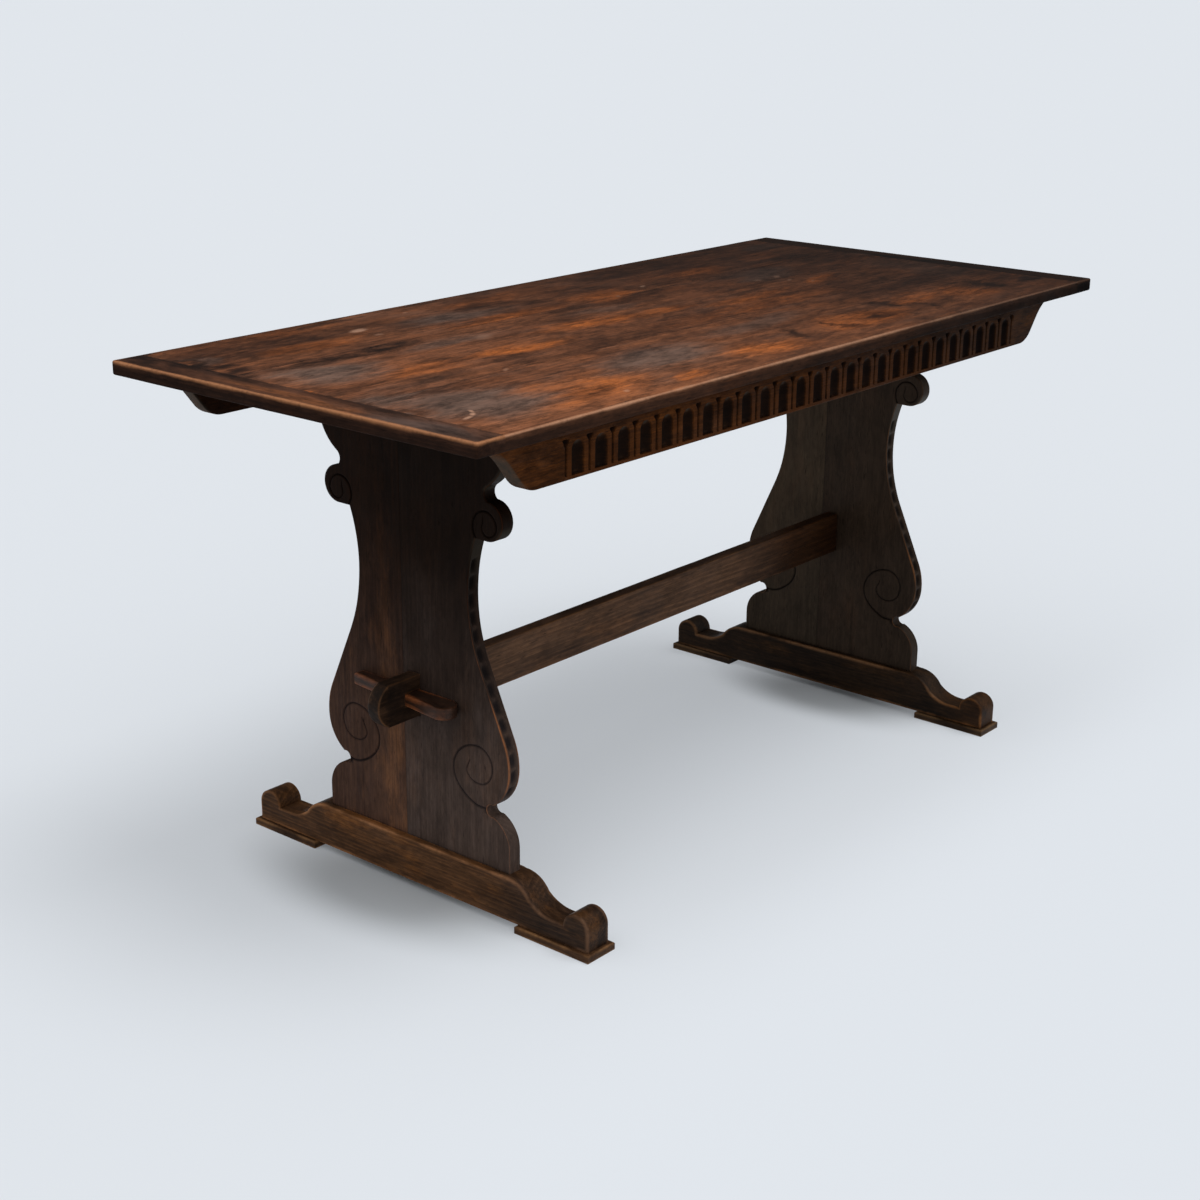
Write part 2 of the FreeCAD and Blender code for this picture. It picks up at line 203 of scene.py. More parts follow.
# Planks
class Plank:
    """A flat piece cut to an outline, with eased arrises, built dense enough to be carved.

    Its own axes are u and v in the outline's plane and w through the thickness, and
    axes says which of x, y and z each one is. Every edge of the outline can have its own
    easing, and an open edge has no wall, so that it can be joined to the next length.
    """

    def __init__(self, axes, outline, low, high, ease, cell, holes=(), points=(), rows=2, open_edge=None):
        self.axes = axes
        self.low = low
        self.high = high
        self.loops = [np.array(outline)] + [np.array(hole)[::-1] for hole in holes]
        self.ease = ease
        self.open_edge = open_edge or (lambda u, v, nu, nv: False)
        self.uvw = []
        self.edge = []
        self.wall = []
        self.hollow = []
        self.faces = []
        self.walls = []
        self.rubbed = ([], [])
        rings = [self.add_loop(loop, rows) for loop in self.loops]
        self.add_face(rings, 0, cell, points, True)
        self.add_face(rings, 1, cell, points, False)
        self.uvw = np.array(self.uvw)
        self.edge = np.array(self.edge)
        self.wall = np.array(self.wall, bool)
        self.hollow = np.array(self.hollow)
        self.dust = np.zeros(len(self.uvw))

    def add_point(self, u, v, w, edge, wall=False, hollow=0.0):
        self.uvw.append((u, v, w))
        self.edge.append(edge)
        self.wall.append(wall)
        self.hollow.append(hollow)
        return len(self.uvw) - 1

    def add_loop(self, loop, rows):
        """The wall round one loop, with a quarter round at each face."""
        count = len(loop)
        inward = left_of(unit(np.roll(loop, -1, axis=0) - loop))
        middles = (loop + np.roll(loop, -1, axis=0)) / 2
        is_open = [self.open_edge(*middle, *-n) for middle, n in zip(middles, inward)]
        eases = np.array([(0, 0) if o else self.ease(*m, *-n) for m, n, o in zip(middles, inward, is_open)])
        before = np.roll(np.arange(count), 1)
        thick = self.high - self.low
        for side in (0, 1):
            self.rubbed[side].extend((loop[i], loop[(i + 1) % count]) for i in range(count)
                                     if eases[i][side] > HAIRLINE)
        levels = [("high", math.radians(a)) for a in (90, 65, 40, 18, 0)]
        levels += [("wall", (i + 1) / rows) for i in range(rows - 1)]
        levels += [("low", math.radians(a)) for a in (0, 18, 40, 65, 90)]
        grid = []
        for kind, value in levels:
            ring = []
            for i in range(count):
                side = 0 if kind != "low" else 1
                first, second = eases[before[i]][side], eases[i][side]
                radius = max(first, second)
                bend = 1 - math.cos(value) if kind != "wall" else 0
                shift = corner_shift(inward[before[i]], inward[i], first * bend, second * bend)
                u, v = loop[i] + shift
                if kind == "wall":
                    top = self.high - max(eases[i][0], eases[before[i]][0])
                    bottom = self.low + max(eases[i][1], eases[before[i]][1])
                    w = top + (bottom - top) * value
                    edge = min(value, 1 - value) * thick
                else:
                    sunk = radius * (1 - math.sin(value))
                    w = self.high - sunk if kind == "high" else self.low + sunk
                    edge = abs(value / math.radians(45) - 1) * radius
                joint = radius <= HAIRLINE and not (is_open[i] and is_open[before[i]])
                if radius <= HAIRLINE:
                    edge = UNRUBBED
                on_wall = kind == "wall" or value == 0
                ring.append(self.add_point(u, v, w, edge, on_wall, 0.3 if joint else 0.0))
            grid.append(ring)
        for upper, lower in zip(grid, grid[1:]):
            for i in range(count):
                j = (i + 1) % count
                if not is_open[i]:
                    self.faces.append((upper[i], lower[i], lower[j], upper[j]))
        self.walls.append((np.array(grid), loop, inward + inward[before]))
        return grid[0], grid[-1]

    def add_face(self, rings, which, cell, points, upward):
        """One flat face, filled with triangles through its own lattice of points."""
        w = self.high if upward else self.low
        ids = [list(ring[which]) for ring in rings]
        loops = [np.array([self.uvw[i][:2] for i in ring]) for ring in ids]
        extra = self.lattice(loops, cell, np.array(points))
        starts, ends = zip(*self.rubbed[which]) if self.rubbed[which] else ((), ())
        for (u, v), edge in zip(extra, nearest_stretch(extra, starts, ends)[0]):
            ids.append([self.add_point(u, v, w, edge)])
        flat = [i for group in ids for i in group]
        edges = []
        start = 0
        for loop in loops:
            edges += [(start + i, start + (i + 1) % len(loop)) for i in range(len(loop))]
            start += len(loop)
        vectors = [Vector(self.uvw[i][:2]) for i in flat]
        out = geometry.delaunay_2d_cdt(vectors, edges, [], 0, 1e-9)
        back = []
        for place, group in zip(out[0], out[3]):
            back.append(flat[group[0]] if group else self.add_point(place.x, place.y, w, UNRUBBED))
        triangles = np.array([face for face in out[2] if len(face) == 3])
        corners = np.array([tuple(v) for v in out[0]])
        middles = corners[triangles].mean(axis=1)
        keep = inside(middles, loops[0])
        for loop in loops[1:]:
            keep &= ~inside(middles, loop)
        for triangle in triangles[keep]:
            corner = [back[i] for i in triangle]
            self.faces.append(tuple(corner) if upward else tuple(reversed(corner)))

    def lattice(self, loops, cell, points):
        """Places for the inner points: the ones asked for, rows beside the outline, and an even spread."""
        rows = []
        for loop in loops:
            inward = left_of(unit(np.roll(loop, -1, axis=0) - np.roll(loop, 1, axis=0)))
            for far in (2.5 * MM, 7 * MM):
                row = loop + far * inward
                rows.append(row[distance_to_loop(row, loop) > 0.9 * far])
        (u0, v0), (u1, v1) = loops[0].min(axis=0), loops[0].max(axis=0)
        us, vs = np.meshgrid(np.arange(u0, u1, cell), np.arange(v0, v1, cell * 0.87))
        us[1::2] += cell / 2
        spread = np.stack([us.ravel(), vs.ravel()], axis=1)
        if len(points):
            spread = spread[nearest(spread, points) > 0.6 * cell]
            rows = [row[nearest(row, points) > 1.2 * MM] if len(row) else row for row in rows]
            points = points[inside(points, loops[0])]
            for loop in loops:
                points = points[distance_to_loop(points, loop) > 0.25 * MM]
        rows = np.concatenate(rows)
        rows = rows[thin(rows, 1.0 * MM)]
        spread = spread[nearest(spread, rows) > 0.5 * cell]
        found = np.concatenate([rows, spread])
        keep = inside(found, loops[0])
        for loop in loops:
            keep &= distance_to_loop(found, loop) > 1.2 * MM
        for loop in loops[1:]:
            keep &= ~inside(found, loop)
        found = found[keep]
        if len(points):
            found = np.concatenate([points, found])
        return found

    def sink(self, which, depth, hollow):
        """Carves a face by a depth and a darkness that are worked out for each of its points."""
        on_face = np.abs(self.uvw[:, 2] - (self.high if which > 0 else self.low)) < 1e-7
        points = self.uvw[on_face]
        self.uvw[on_face, 2] -= which * depth(points[:, 0], points[:, 1])
        self.hollow[on_face] = np.maximum(self.hollow[on_face], hollow(points[:, 0], points[:, 1]))

    def paint_floor_reflection_below(self, share, low=0.0):
        """Painted reflection of the floor: dull grey on the parts of the walls that look down, above a
        height.
        """
        for grid, loop, inward in self.walls:
            up = inward[:, 1] / np.linalg.norm(inward, axis=1)
            found = share * smooth_step(0.1, 0.45, up) * (1 - smooth_step(0.7, 0.95, up)) * (loop[:, 1] > low)
            for row in grid:
                self.dust[row] = np.maximum(self.dust[row], found)

    def mesh(self, name, mirror=None):
        """The plank as a mesh, turned into the table's own axes."""
        order = ["xyz".index(axis) for axis in self.axes]
        places = np.zeros((len(self.uvw), 3))
        places[:, order] = self.uvw
        places[:, 1] = np.clip(places[:, 1], -HALF_WIDTH, HALF_WIDTH)
        turned = self.axes in ("xzy", "yxz", "zyx")
        if mirror:
            places[:, "xyz".index(mirror)] *= -1
            turned = not turned
        faces = [tuple(reversed(face)) for face in self.faces] if turned else self.faces
        used = sorted({i for face in faces for i in face})
        place_of = {old: new for new, old in enumerate(used)}
        mesh = new_mesh(name, places[used].tolist(), [[place_of[i] for i in face] for face in faces])
        mesh.validate()
        for label, values in (("edge", self.edge), ("hollow", self.hollow), ("dust", self.dust)):
            attribute = mesh.attributes.new(label, "FLOAT", "POINT")
            attribute.data.foreach_set("value", values[used].astype(np.float32))
        return smoothed(mesh)


def curve_through(points, step=2 * MM):
    """A smooth open line through a few points, as points a small step apart."""
    knots = [np.array(p, float) for p in points]
    knots = [2 * knots[0] - knots[1]] + knots + [2 * knots[-1] - knots[-2]]
    found = []
    for a, b, c, d in zip(knots, knots[1:], knots[2:], knots[3:]):
        count = max(2, round(float(np.linalg.norm(c - b)) / step))
        for t in np.arange(count) / count:
            found.append(0.5 * (2 * b + (c - a) * t + (2 * a - 5 * b + 4 * c - d) * t ** 2
                                + (3 * b - a - 3 * c + d) * t ** 3))
    return np.array(found + [knots[-2]])


def beside(line, offsets):
    """Rows of points that keep to a line at several distances, for a groove to be cut along it."""
    across = left_of(unit(np.gradient(line, axis=0)))
    rows = np.concatenate([line + offset * across for offset in offsets])
    return rows[thin(rows, 0.9 * MM)]


def corner_shift(first, second, first_inset, second_inset):
    """How a corner moves when its two edges move inwards by their own amounts."""
    det = first[0] * second[1] - first[1] * second[0]
    if abs(det) < 0.25:
        middle = first + second
        middle = middle / np.linalg.norm(middle)
        return middle * (first_inset + second_inset) / 2
    u = (first_inset * second[1] - second_inset * first[1]) / det
    v = (first[0] * second_inset - second[0] * first_inset) / det
    return np.array([u, v])


def nearest(points, others):
    """The distance from each point to the nearest of the others."""
    best = np.full(len(points), 1e9)
    for start in range(0, len(others), 400):
        block = others[start:start + 400]
        gaps = np.linalg.norm(points[:, None, :] - block[None, :, :], axis=2)
        best = np.minimum(best, gaps.min(axis=1))
    return best


def thin(points, least):
    """Which points to keep so that no two kept ones are nearer than the least distance."""
    cells = {}
    keep = []
    for i, (u, v) in enumerate(points):
        key = (int(u // least), int(v // least))
        near = [cells.get((key[0] + a, key[1] + b)) for a in (-1, 0, 1) for b in (-1, 0, 1)]
        if all(n is None or math.dist(n, (u, v)) >= least for n in near):
            cells[key] = (u, v)
            keep.append(i)
    return keep


def by_hand(radius, u, v, share, pitch, seed):
    """An arris's radius at a place, on both faces, uneven as a hand leaves it."""
    uneven = radius * (1 + share * noise.noise(Vector((u * pitch, v * pitch, seed))))
    return uneven, uneven


def even_ease(radius):
    """The same easing on every edge."""
    return lambda u, v, nu, nv: by_hand(radius, u, v, 0.35, 22, radius * 900)


def rectangle(u0, v0, u1, v1, step=4 * MM):
    outline = Outline((u0, v0), step)
    return outline.line((u1, v0)).line((u1, v1)).line((u0, v1)).line((u0, v0)).closed()


def show(mesh, name, body, material, slot, *nodes, shaded_sides=None):
    """Puts a finished mesh in the scene, on its body and in place of its nodes.

    sides is a second material, a darker copy with painted shade, for the faces that stand upright or look
    down.
    """
    piece = new_object(name, mesh)
    mesh.materials.clear()
    mesh.materials.append(material)
    if shaded_sides:
        mesh.materials.append(shaded_sides)
        for face in mesh.polygons:
            face.material_index = 1 if face.normal.z < 0.4 else 0
    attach(piece, body)
    if nodes:
        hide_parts(*nodes)
    return piece


# Materials
class Nodes:
    """A short way to write a material's nodes."""

    def __init__(self, tree):
        self.tree = tree

    def add(self, kind, inputs=None, **settings):
        node = self.tree.nodes.new(kind)
        for name, value in settings.items():
            setattr(node, name, value)
        for name, value in (inputs or {}).items():
            self.feed(node.inputs[name], value)
        return node

    def feed(self, socket, value):
        if isinstance(value, bpy.types.NodeSocket):
            self.tree.links.new(value, socket)
        else:
            socket.default_value = value

    def maths(self, operation, a, b=0.0, clamp=False):
        node = self.add("ShaderNodeMath", {0: a, 1: b}, operation=operation, use_clamp=clamp)
        return node.outputs[0]

    def plus(self, a, b, clamp=False):
        return self.maths("ADD", a, b, clamp)

    def minus(self, a, b, clamp=False):
        return self.maths("SUBTRACT", a, b, clamp)

    def times(self, a, b, clamp=False):
        return self.maths("MULTIPLY", a, b, clamp)

    def larger(self, a, b):
        return self.maths("MAXIMUM", a, b)

    def vector(self, operation, a, b=(0, 0, 0)):
        """A vector made of two, or the number that a LENGTH or a DOT_PRODUCT gives."""
        node = self.add("ShaderNodeVectorMath", {0: a, 1: b}, operation=operation)
        return node.outputs["Value" if operation in ("LENGTH", "DOT_PRODUCT") else "Vector"]

    def around(self, vector, middle, **inputs):
        """A place as it is seen from a middle that can be turned and scaled."""
        inputs = {"Vector": vector, "Location": middle, **inputs}
        return self.add("ShaderNodeMapping", inputs, vector_type="TEXTURE").outputs[0]

    def paint(self, shader, **constants):
        """The material's surface. A constant is written on the shader's own socket."""
        for name, value in constants.items():
            shader.inputs[name.replace("_", " ")].default_value = value
        self.add("ShaderNodeOutputMaterial", {"Surface": shader.outputs[0]})

    def remap(self, value, low, high, out_low=0.0, out_high=1.0):
        """A value turned from one range into another, with soft ends."""
        inputs = {"Value": value, 1: low, 2: high, 3: out_low, 4: out_high}
        return self.add("ShaderNodeMapRange", inputs, interpolation_type="SMOOTHSTEP").outputs[0]

    def mix(self, share, first, second, blend="MIX"):
        node = self.add("ShaderNodeMix", data_type="RGBA", blend_type=blend, clamp_factor=True)
        self.feed(node.inputs[0], share)
        self.feed(node.inputs[6], first)
        self.feed(node.inputs[7], second)
        return node.outputs[2]

    def noise(self, vector, scale, detail=3.0, rough=0.5, stretch=None, seed=0.0):
        if stretch:
            vector = self.add("ShaderNodeMapping", {"Vector": vector, "Scale": stretch}).outputs[0]
        inputs = {"Vector": vector, "Scale": scale, "Detail": detail, "Roughness": rough, "W": seed}
        return self.add("ShaderNodeTexNoise", inputs, noise_dimensions="4D").outputs[0]

    def patches(self, vector, scale, detail, rough, stretch, seed, low, high, strength):
        """Soft patches, where a noise is above a low and up to a high value."""
        found = self.noise(vector, scale, detail, rough, stretch, seed)
        return self.times(self.remap(found, low, high), strength)

    def attribute(self, name):
        return self.add("ShaderNodeAttribute", attribute_name=name, attribute_type="GEOMETRY").outputs["Fac"]


def new_material(name):
    """An empty material, and the short way to write its nodes."""
    material = bpy.data.materials.new(name)
    material.use_nodes = True
    material.node_tree.nodes.clear()
    return material, Nodes(material.node_tree)


FIGURE = ("Rings", "Pores", "Fibres", "Tone")


def grain_group():
    """Oak's figure, for a log that lies along X: growth rings, pores, fibres and slow changes of tone."""
    tree = bpy.data.node_groups.new("oak_figure", "ShaderNodeTree")
    tree.interface.new_socket("Vector", in_out="INPUT", socket_type="NodeSocketVector")
    for name in ("Ring width", "Wander", "Seed"):
        tree.interface.new_socket(name, in_out="INPUT", socket_type="NodeSocketFloat")
    for name in FIGURE:
        tree.interface.new_socket(name, in_out="OUTPUT", socket_type="NodeSocketFloat")
    nodes = Nodes(tree)
    given = tree.nodes.new("NodeGroupInput").outputs
    seed = given["Seed"]
    wander = nodes.noise(given["Vector"], 2.2, 3.0, 0.55, (0.55, 2.4, 2.4), seed)
    wander = nodes.times(nodes.minus(wander, 0.5), given["Wander"])
    small = nodes.noise(given["Vector"], 14.0, 2.0, 0.5, (0.5, 3.0, 3.0), seed)
    wander = nodes.plus(wander, nodes.times(nodes.minus(small, 0.5), 0.006))
    parts = nodes.add("ShaderNodeSeparateXYZ", {0: given["Vector"]}).outputs
    taper = nodes.times(parts[0], 0.018)
    across = nodes.maths("POWER", parts[1], 2.0)
    through = nodes.maths("POWER", nodes.plus(parts[2], taper), 2.0)
    radius = nodes.maths("SQRT", nodes.plus(across, through))
    radius = nodes.plus(radius, wander)
    turns = nodes.maths("FRACT", nodes.maths("DIVIDE", radius, given["Ring width"]))
    early = nodes.remap(turns, 0.0, 0.55, 1.0, 0.0)
    late = nodes.remap(turns, 0.86, 1.0, 0.0, 1.0)
    rings = nodes.larger(early, late)
    dashes = nodes.noise(given["Vector"], 1.0, 1.0, 0.5, (70.0, 1150.0, 1150.0), seed)
    dashes = nodes.remap(dashes, 0.56, 0.68)
    pores = nodes.times(dashes, nodes.remap(rings, 0.1, 0.9, 0.22, 1.0))
    fibres = nodes.noise(given["Vector"], 1.0, 3.0, 0.6, (9.0, 420.0, 420.0), seed)
    tone = nodes.noise(given["Vector"], 3.0, 3.0, 0.55, (0.8, 4.5, 4.5), nodes.plus(seed, 7.0))
    result = tree.nodes.new("NodeGroupOutput")
    for name, value in zip(FIGURE, (rings, pores, fibres, tone)):
        nodes.feed(result.inputs[name], value)
    return tree


OAK_FIGURE = grain_group()
TURN_TO = {"x": (0, 0, 0), "y": (0, 0, math.pi / 2), "z": (0, math.pi / 2, 0)}
# How far a mark's outline is torn, and how the tears are drawn out, for a grain along X or Y.
TEAR = {"x": ((0.26, 0.12, 0.0), (0.45, 1.5, 1.0)), "y": ((0.09, 0.2, 0.0), (1.5, 0.45, 1.0))}
GREY_SHEEN = (0.103, 0.068, 0.052, 1)
PORE_BLACK = (0.006, 0.0035, 0.0025, 1)
DUST_AND_SHEEN_GREY = (0.06, 0.058, 0.048, 1)
SCRATCH_PALE = (0.4, 0.22, 0.14, 1)
HOLLOW_AND_SHADE_BLACK = (0.005, 0.0035, 0.003, 1)


def spots(nodes, place, marks):
    """Soft oval marks, each with its place, its reach along X and Y, its turn and its strength."""
    total = 0.0
    for x, y, along, across, turn, strength in marks:
        own = nodes.around(place, (x, y, 0), Scale=(along, across, 1.0), Rotation=(0, 0, turn))
        far = nodes.vector("LENGTH", nodes.vector("MULTIPLY", own, (1.0, 1.0, 0.0)))
        spot = nodes.times(nodes.remap(far, 0.25, 1.0, 1.0, 0.0), strength)
        total = nodes.larger(spot, total)
    return total


def stained(nodes, place, ragged, marks):
    """The marks broken up by a ragged noise."""
    if not marks:
        return 0.0
    return nodes.times(spots(nodes, place, marks), nodes.remap(ragged, 0.32, 0.58, 0.4, 1.0))


def torn(nodes, place, reach, stretch, seed):
    """The place moved about, so that marks laid on it have outlines torn along the grain."""
    drawn = nodes.add("ShaderNodeMapping", {"Vector": place, "Scale": stretch}).outputs[0]
    inputs = {"Vector": drawn, "Scale": 11.0, "Detail": 7.0, "Roughness": 0.68, "W": seed}
    shift = nodes.add("ShaderNodeTexNoise", inputs, noise_dimensions="4D").outputs["Color"]
    shift = nodes.vector("MULTIPLY", nodes.vector("SUBTRACT", shift, (0.5, 0.5, 0.5)), reach)
    return nodes.vector("ADD", place, shift)


def with_painted_light_and_shade(nodes, place, colour, seed, start, end, first, second):
    """Painted light and shade: the colour with one tone at the start and another at the end, and an uneven
    change between.
    """
    way = Vector(end) - Vector(start)
    far = nodes.vector("DOT_PRODUCT", nodes.vector("SUBTRACT", place, start), way / way.length_squared)
    uneven = nodes.noise(place, 7.0, 4.0, 0.6, None, seed + 21.0)
    far = nodes.plus(far, nodes.times(nodes.minus(uneven, 0.5), 0.6))
    tone = nodes.mix(nodes.remap(far, 0.0, 1.0), (*first, 1), (*second, 1))
    return nodes.mix(1.0, colour, tone, "MULTIPLY")


def oak(name, along, heart, seed, dark, light, amber=(0.25, 0.075, 0.02), ring=6 * MM, wander=30 * MM,
        worn=0.8, worn_reach=2.2 * MM, worn_tone=(0.28, 0.12, 0.05), rough=0.42, polish=0.12,
        unbroken=0.1, patches=0.3, streaks=0.5, grey=0.1, mottle=0.35, amber_marks=(), sheen_marks=(),
        dark_marks=(), pale_marks=(), painted_light_and_shade=None):
    """Waxed old oak. along is its grain's axis and heart a point of the log's own centre line.

    The last argument is painted light and shade: two places, with the tone that the colour is multiplied by
    at each.
    """
    material, nodes = new_material(name)
    place = nodes.add("ShaderNodeTexCoord").outputs["Object"]
    turned = nodes.around(place, heart, Rotation=TURN_TO[along])
    figure = nodes.add("ShaderNodeGroup", node_tree=OAK_FIGURE)
    for label, value in (("Vector", turned), ("Ring width", ring), ("Wander", wander), ("Seed", seed)):
        nodes.feed(figure.inputs[label], value)
    rings, pores, fibres, tone = (figure.outputs[part] for part in FIGURE)
    fibre_share = nodes.remap(fibres, 0.3, 0.7)
    share = nodes.times(rings, 0.3)
    share = nodes.plus(share, nodes.times(nodes.remap(tone, 0.3, 0.7), 0.4))
    share = nodes.plus(share, nodes.times(fibre_share, 0.4))
    colour = nodes.mix(share, (*dark, 1), (*light, 1))
    marked = torn(nodes, place, *TEAR[along], seed + 6.0) if amber_marks or dark_marks else place
    ragged = nodes.noise(turned, 9.0, 8.0, 0.72, (2.2, 6.0, 6.0), seed + 6.0)
    glow = nodes.patches(turned, 3.2, 8.0, 0.68, (1.6, 5.5, 5.5), seed + 3.0, 0.5, 0.68, patches)
    glow = nodes.larger(glow, stained(nodes, marked, ragged, amber_marks))
    glow = nodes.times(glow, nodes.remap(fibres, 0.28, 0.6, 0.38, 0.92))
    colour = nodes.mix(glow, colour, (*amber, 1))
    # Grey patches and the grey marks are painted sheen, the pale room reflected.
    grey_sheen = nodes.patches(turned, 5.0, 6.0, 0.66, (1.2, 3.5, 3.5), seed + 11.0, 0.48, 0.68, grey)
    grey_sheen = nodes.larger(grey_sheen, nodes.times(spots(nodes, marked, sheen_marks), 0.8))
    colour = nodes.mix(grey_sheen, colour, GREY_SHEEN)
    stain = nodes.patches(turned, 4.0, 8.0, 0.68, (1.0, 6.0, 6.0), seed + 17.0, 0.5, 0.66, streaks)
    stain = nodes.larger(stain, stained(nodes, marked, ragged, dark_marks))
    colour = nodes.mix(stain, colour, tuple(0.22 * c for c in dark) + (1,))
    coarse = nodes.noise(turned, 1.0, 5.0, 0.7, (16.0, 50.0, 50.0), seed + 13.0)
    flecks = nodes.noise(turned, 1.0, 4.0, 0.7, (55.0, 150.0, 150.0), seed + 15.0)
    uneven = nodes.plus(nodes.times(coarse, 0.6), nodes.times(flecks, 0.4))
    uneven = nodes.remap(uneven, 0.36, 0.62, 1.0 - mottle, 1.0 + mottle)
    shade = nodes.add("ShaderNodeCombineXYZ", {0: uneven, 1: uneven, 2: uneven}).outputs[0]
    colour = nodes.mix(1.0, colour, shade, "MULTIPLY")
    colour = nodes.mix(nodes.times(pores, 0.7), colour, PORE_BLACK)
    # Grey settled dirt, and painted sheen: the floor reflected where walls look down, and a highlight at each
    # flute's head.
    colour = nodes.mix(nodes.attribute("dust"), colour, DUST_AND_SHEEN_GREY)
    if pale_marks:
        bare = nodes.remap(fibres, 0.25, 0.55, 0.5, 1.0)
        colour = nodes.mix(nodes.times(spots(nodes, place, pale_marks), bare), colour, SCRATCH_PALE)
    edge = nodes.attribute("edge")
    rub = nodes.noise(place, 14.0, 4.0, 0.55, None, seed + 5.0)
    reach = nodes.remap(rub, 0.3, 0.7, 0.65 * worn_reach, 1.3 * worn_reach)
    rubbed = nodes.minus(1.0, nodes.maths("DIVIDE", edge, reach), True)
    rubbed = nodes.times(nodes.remap(rubbed, 0.0, 0.9), nodes.remap(rub, 0.38, 0.6, unbroken, 1.0))
    fine = nodes.noise(place, 170.0, 3.0, 0.6, None, seed)
    rubbed = nodes.times(rubbed, nodes.remap(fine, 0.25, 0.55, 0.6, 1.0))
    colour = nodes.mix(nodes.times(rubbed, worn), colour, (*worn_tone, 1))
    # Darkness in carved hollows and joints, and painted shade on faces that lie in shade.
    hollow = nodes.attribute("hollow")
    colour = nodes.mix(nodes.times(hollow, 0.9, True), colour, HOLLOW_AND_SHADE_BLACK)
    # Painted light and shade across the piece.
    if painted_light_and_shade:
        colour = with_painted_light_and_shade(nodes, place, colour, seed, *painted_light_and_shade)
    gloss = nodes.noise(place, 9.0, 4.0, 0.6, None, seed + 2.0)
    gloss = nodes.remap(gloss, 0.3, 0.7, rough - 0.08, rough + 0.1)
    gloss = nodes.plus(gloss, nodes.times(pores, 0.18))
    gloss = nodes.plus(gloss, nodes.times(hollow, 0.25))
    height = nodes.minus(nodes.times(fibres, 0.35), pores)
    height = nodes.plus(height, nodes.times(rings, -0.25))
    bump = nodes.add("ShaderNodeBump", {"Strength": 0.45, "Distance": 0.25 * MM, "Height": height})
    dents = nodes.noise(place, 38.0, 3.0, 0.55, None, seed + 9.0)
    bump = nodes.add("ShaderNodeBump", {"Strength": 0.35, "Distance": 0.8 * MM, "Height": dents,
                                        "Normal": bump.outputs[0]}).outputs[0]
    inputs = {"Base Color": colour, "Roughness": gloss, "Normal": bump}
    nodes.paint(nodes.add("ShaderNodeBsdfPrincipled", inputs), Specular_IOR_Level=polish)
    return material


TOP_DARK = (0.066, 0.0245, 0.012)
TOP_LIGHT = (0.22, 0.078, 0.031)
BREADBOARD_LIGHT = (0.15, 0.056, 0.024)
# Painted light and shade is two places, and the tone that the colour is multiplied by at each: the top is lit
# at its left end and falls off to painted shade at its right.
BREADBOARD_PAINTED_LIGHT = ((-0.62, -0.3, 0.75), (0.6, 0, 0.75), (0.84, 0.86, 0.94), (0.105, 0.105, 0.115))
TOP_PAINTED_LIGHT = ((-0.62, -0.3, 0.75), (0.52, 0.4, 0.75), (1.3, 1.31, 1.34), (0.2, 0.2, 0.21))
# Darker copies of the top's tones, painted shade for its upright and lower faces.
SHADED_SIDE_DARK = (0.036, 0.015, 0.008)
SHADED_SIDE_LIGHT = (0.095, 0.038, 0.018)
RAW_DARK = (0.12, 0.068, 0.035)
RAW_LIGHT = (0.22, 0.135, 0.075)


# Top
def top_ease(outer_only):
    """The outer edges are rubbed round, and the joints have an arris of only a hair's breadth."""
    def ease(u, v, nu, nv):
        if not outer_only(u, v):
            return 0.3 * MM, 0.3 * MM
        return by_hand(2.6 * MM, u, v, 0.3, 14, 3.1)
    return ease


# Marks on the top: place, reach along and across it, turn and strength.
AMBER_MARKS = (
    (-0.495, 0.207, 0.11, 0.045, 0, 1), (-0.33, -0.01, 0.13, 0.03, -0.05, 1),
    (-0.17, 0.155, 0.17, 0.035, 0, 0.9), (-0.53, -0.005, 0.13, 0.045, 0, 0.6),
    (-0.11, 0.03, 0.17, 0.036, -0.06, 1), (0.06, 0.165, 0.11, 0.05, 0, 1),
    (0.342, 0.185, 0.12, 0.04, 0, 0.8), (0.2, -0.02, 0.14, 0.04, 0, 0.8),
    (0.045, 0.024, 0.09, 0.02, 0, 0.9), (0.45, 0, 0.11, 0.022, 0.2, 0.8),
    (-0.465, -0.24, 0.15, 0.09, 0, 0.7), (-0.287, -0.29, 0.06, 0.022, 0, 1),
    (-0.08, -0.265, 0.12, 0.06, 0, 0.8), (0.18, -0.25, 0.13, 0.06, 0, 0.8),
    (0.38, -0.215, 0.09, 0.035, 0, 0.8), (0.49, -0.235, 0.06, 0.06, 0, 0.7),
    (-0.5, 0.31, 0.2, 0.03, 0, 0.6), (0.17, -0.07, 0.26, 0.04, 0, 0.5),
    (0.718, 0.08, 0.022, 0.08, 0, 0.9), (-0.734, 0, 0.014, 0.19, 0, 0.8),
    (-0.1, 0.27, 0.15, 0.022, 0, 0.5), (0.56, 0.19, 0.06, 0.03, 0, 0.5),
)
# Grey marks: painted sheen, the pale room reflected in the wax.
SHEEN_MARKS = (
    (-0.61, 0.06, 0.12, 0.09, 0, 1), (-0.215, 0.21, 0.18, 0.055, 0, 1),
    (-0.25, -0.195, 0.17, 0.08, 0, 1), (-0.68, 0.24, 0.04, 0.05, 0, 0.8),
    (-0.35, 0.09, 0.16, 0.035, 0, 0.7), (0.4, 0.095, 0.11, 0.07, 0, 0.8),
    (-0.735, -0.23, 0.03, 0.15, 0, 0.9), (0.63, 0.265, 0.08, 0.05, 0, 0.7),
    (-0.65, -0.11, 0.08, 0.06, 0, 0.9), (0.05, -0.15, 0.2, 0.035, 0, 0.7),
    (-0.02, 0.09, 0.12, 0.03, 0, 0.6), (0.64, -0.06, 0.09, 0.12, 0, 0.5),
    (-0.6, -0.2, 0.15, 0.12, 0, 1),
)
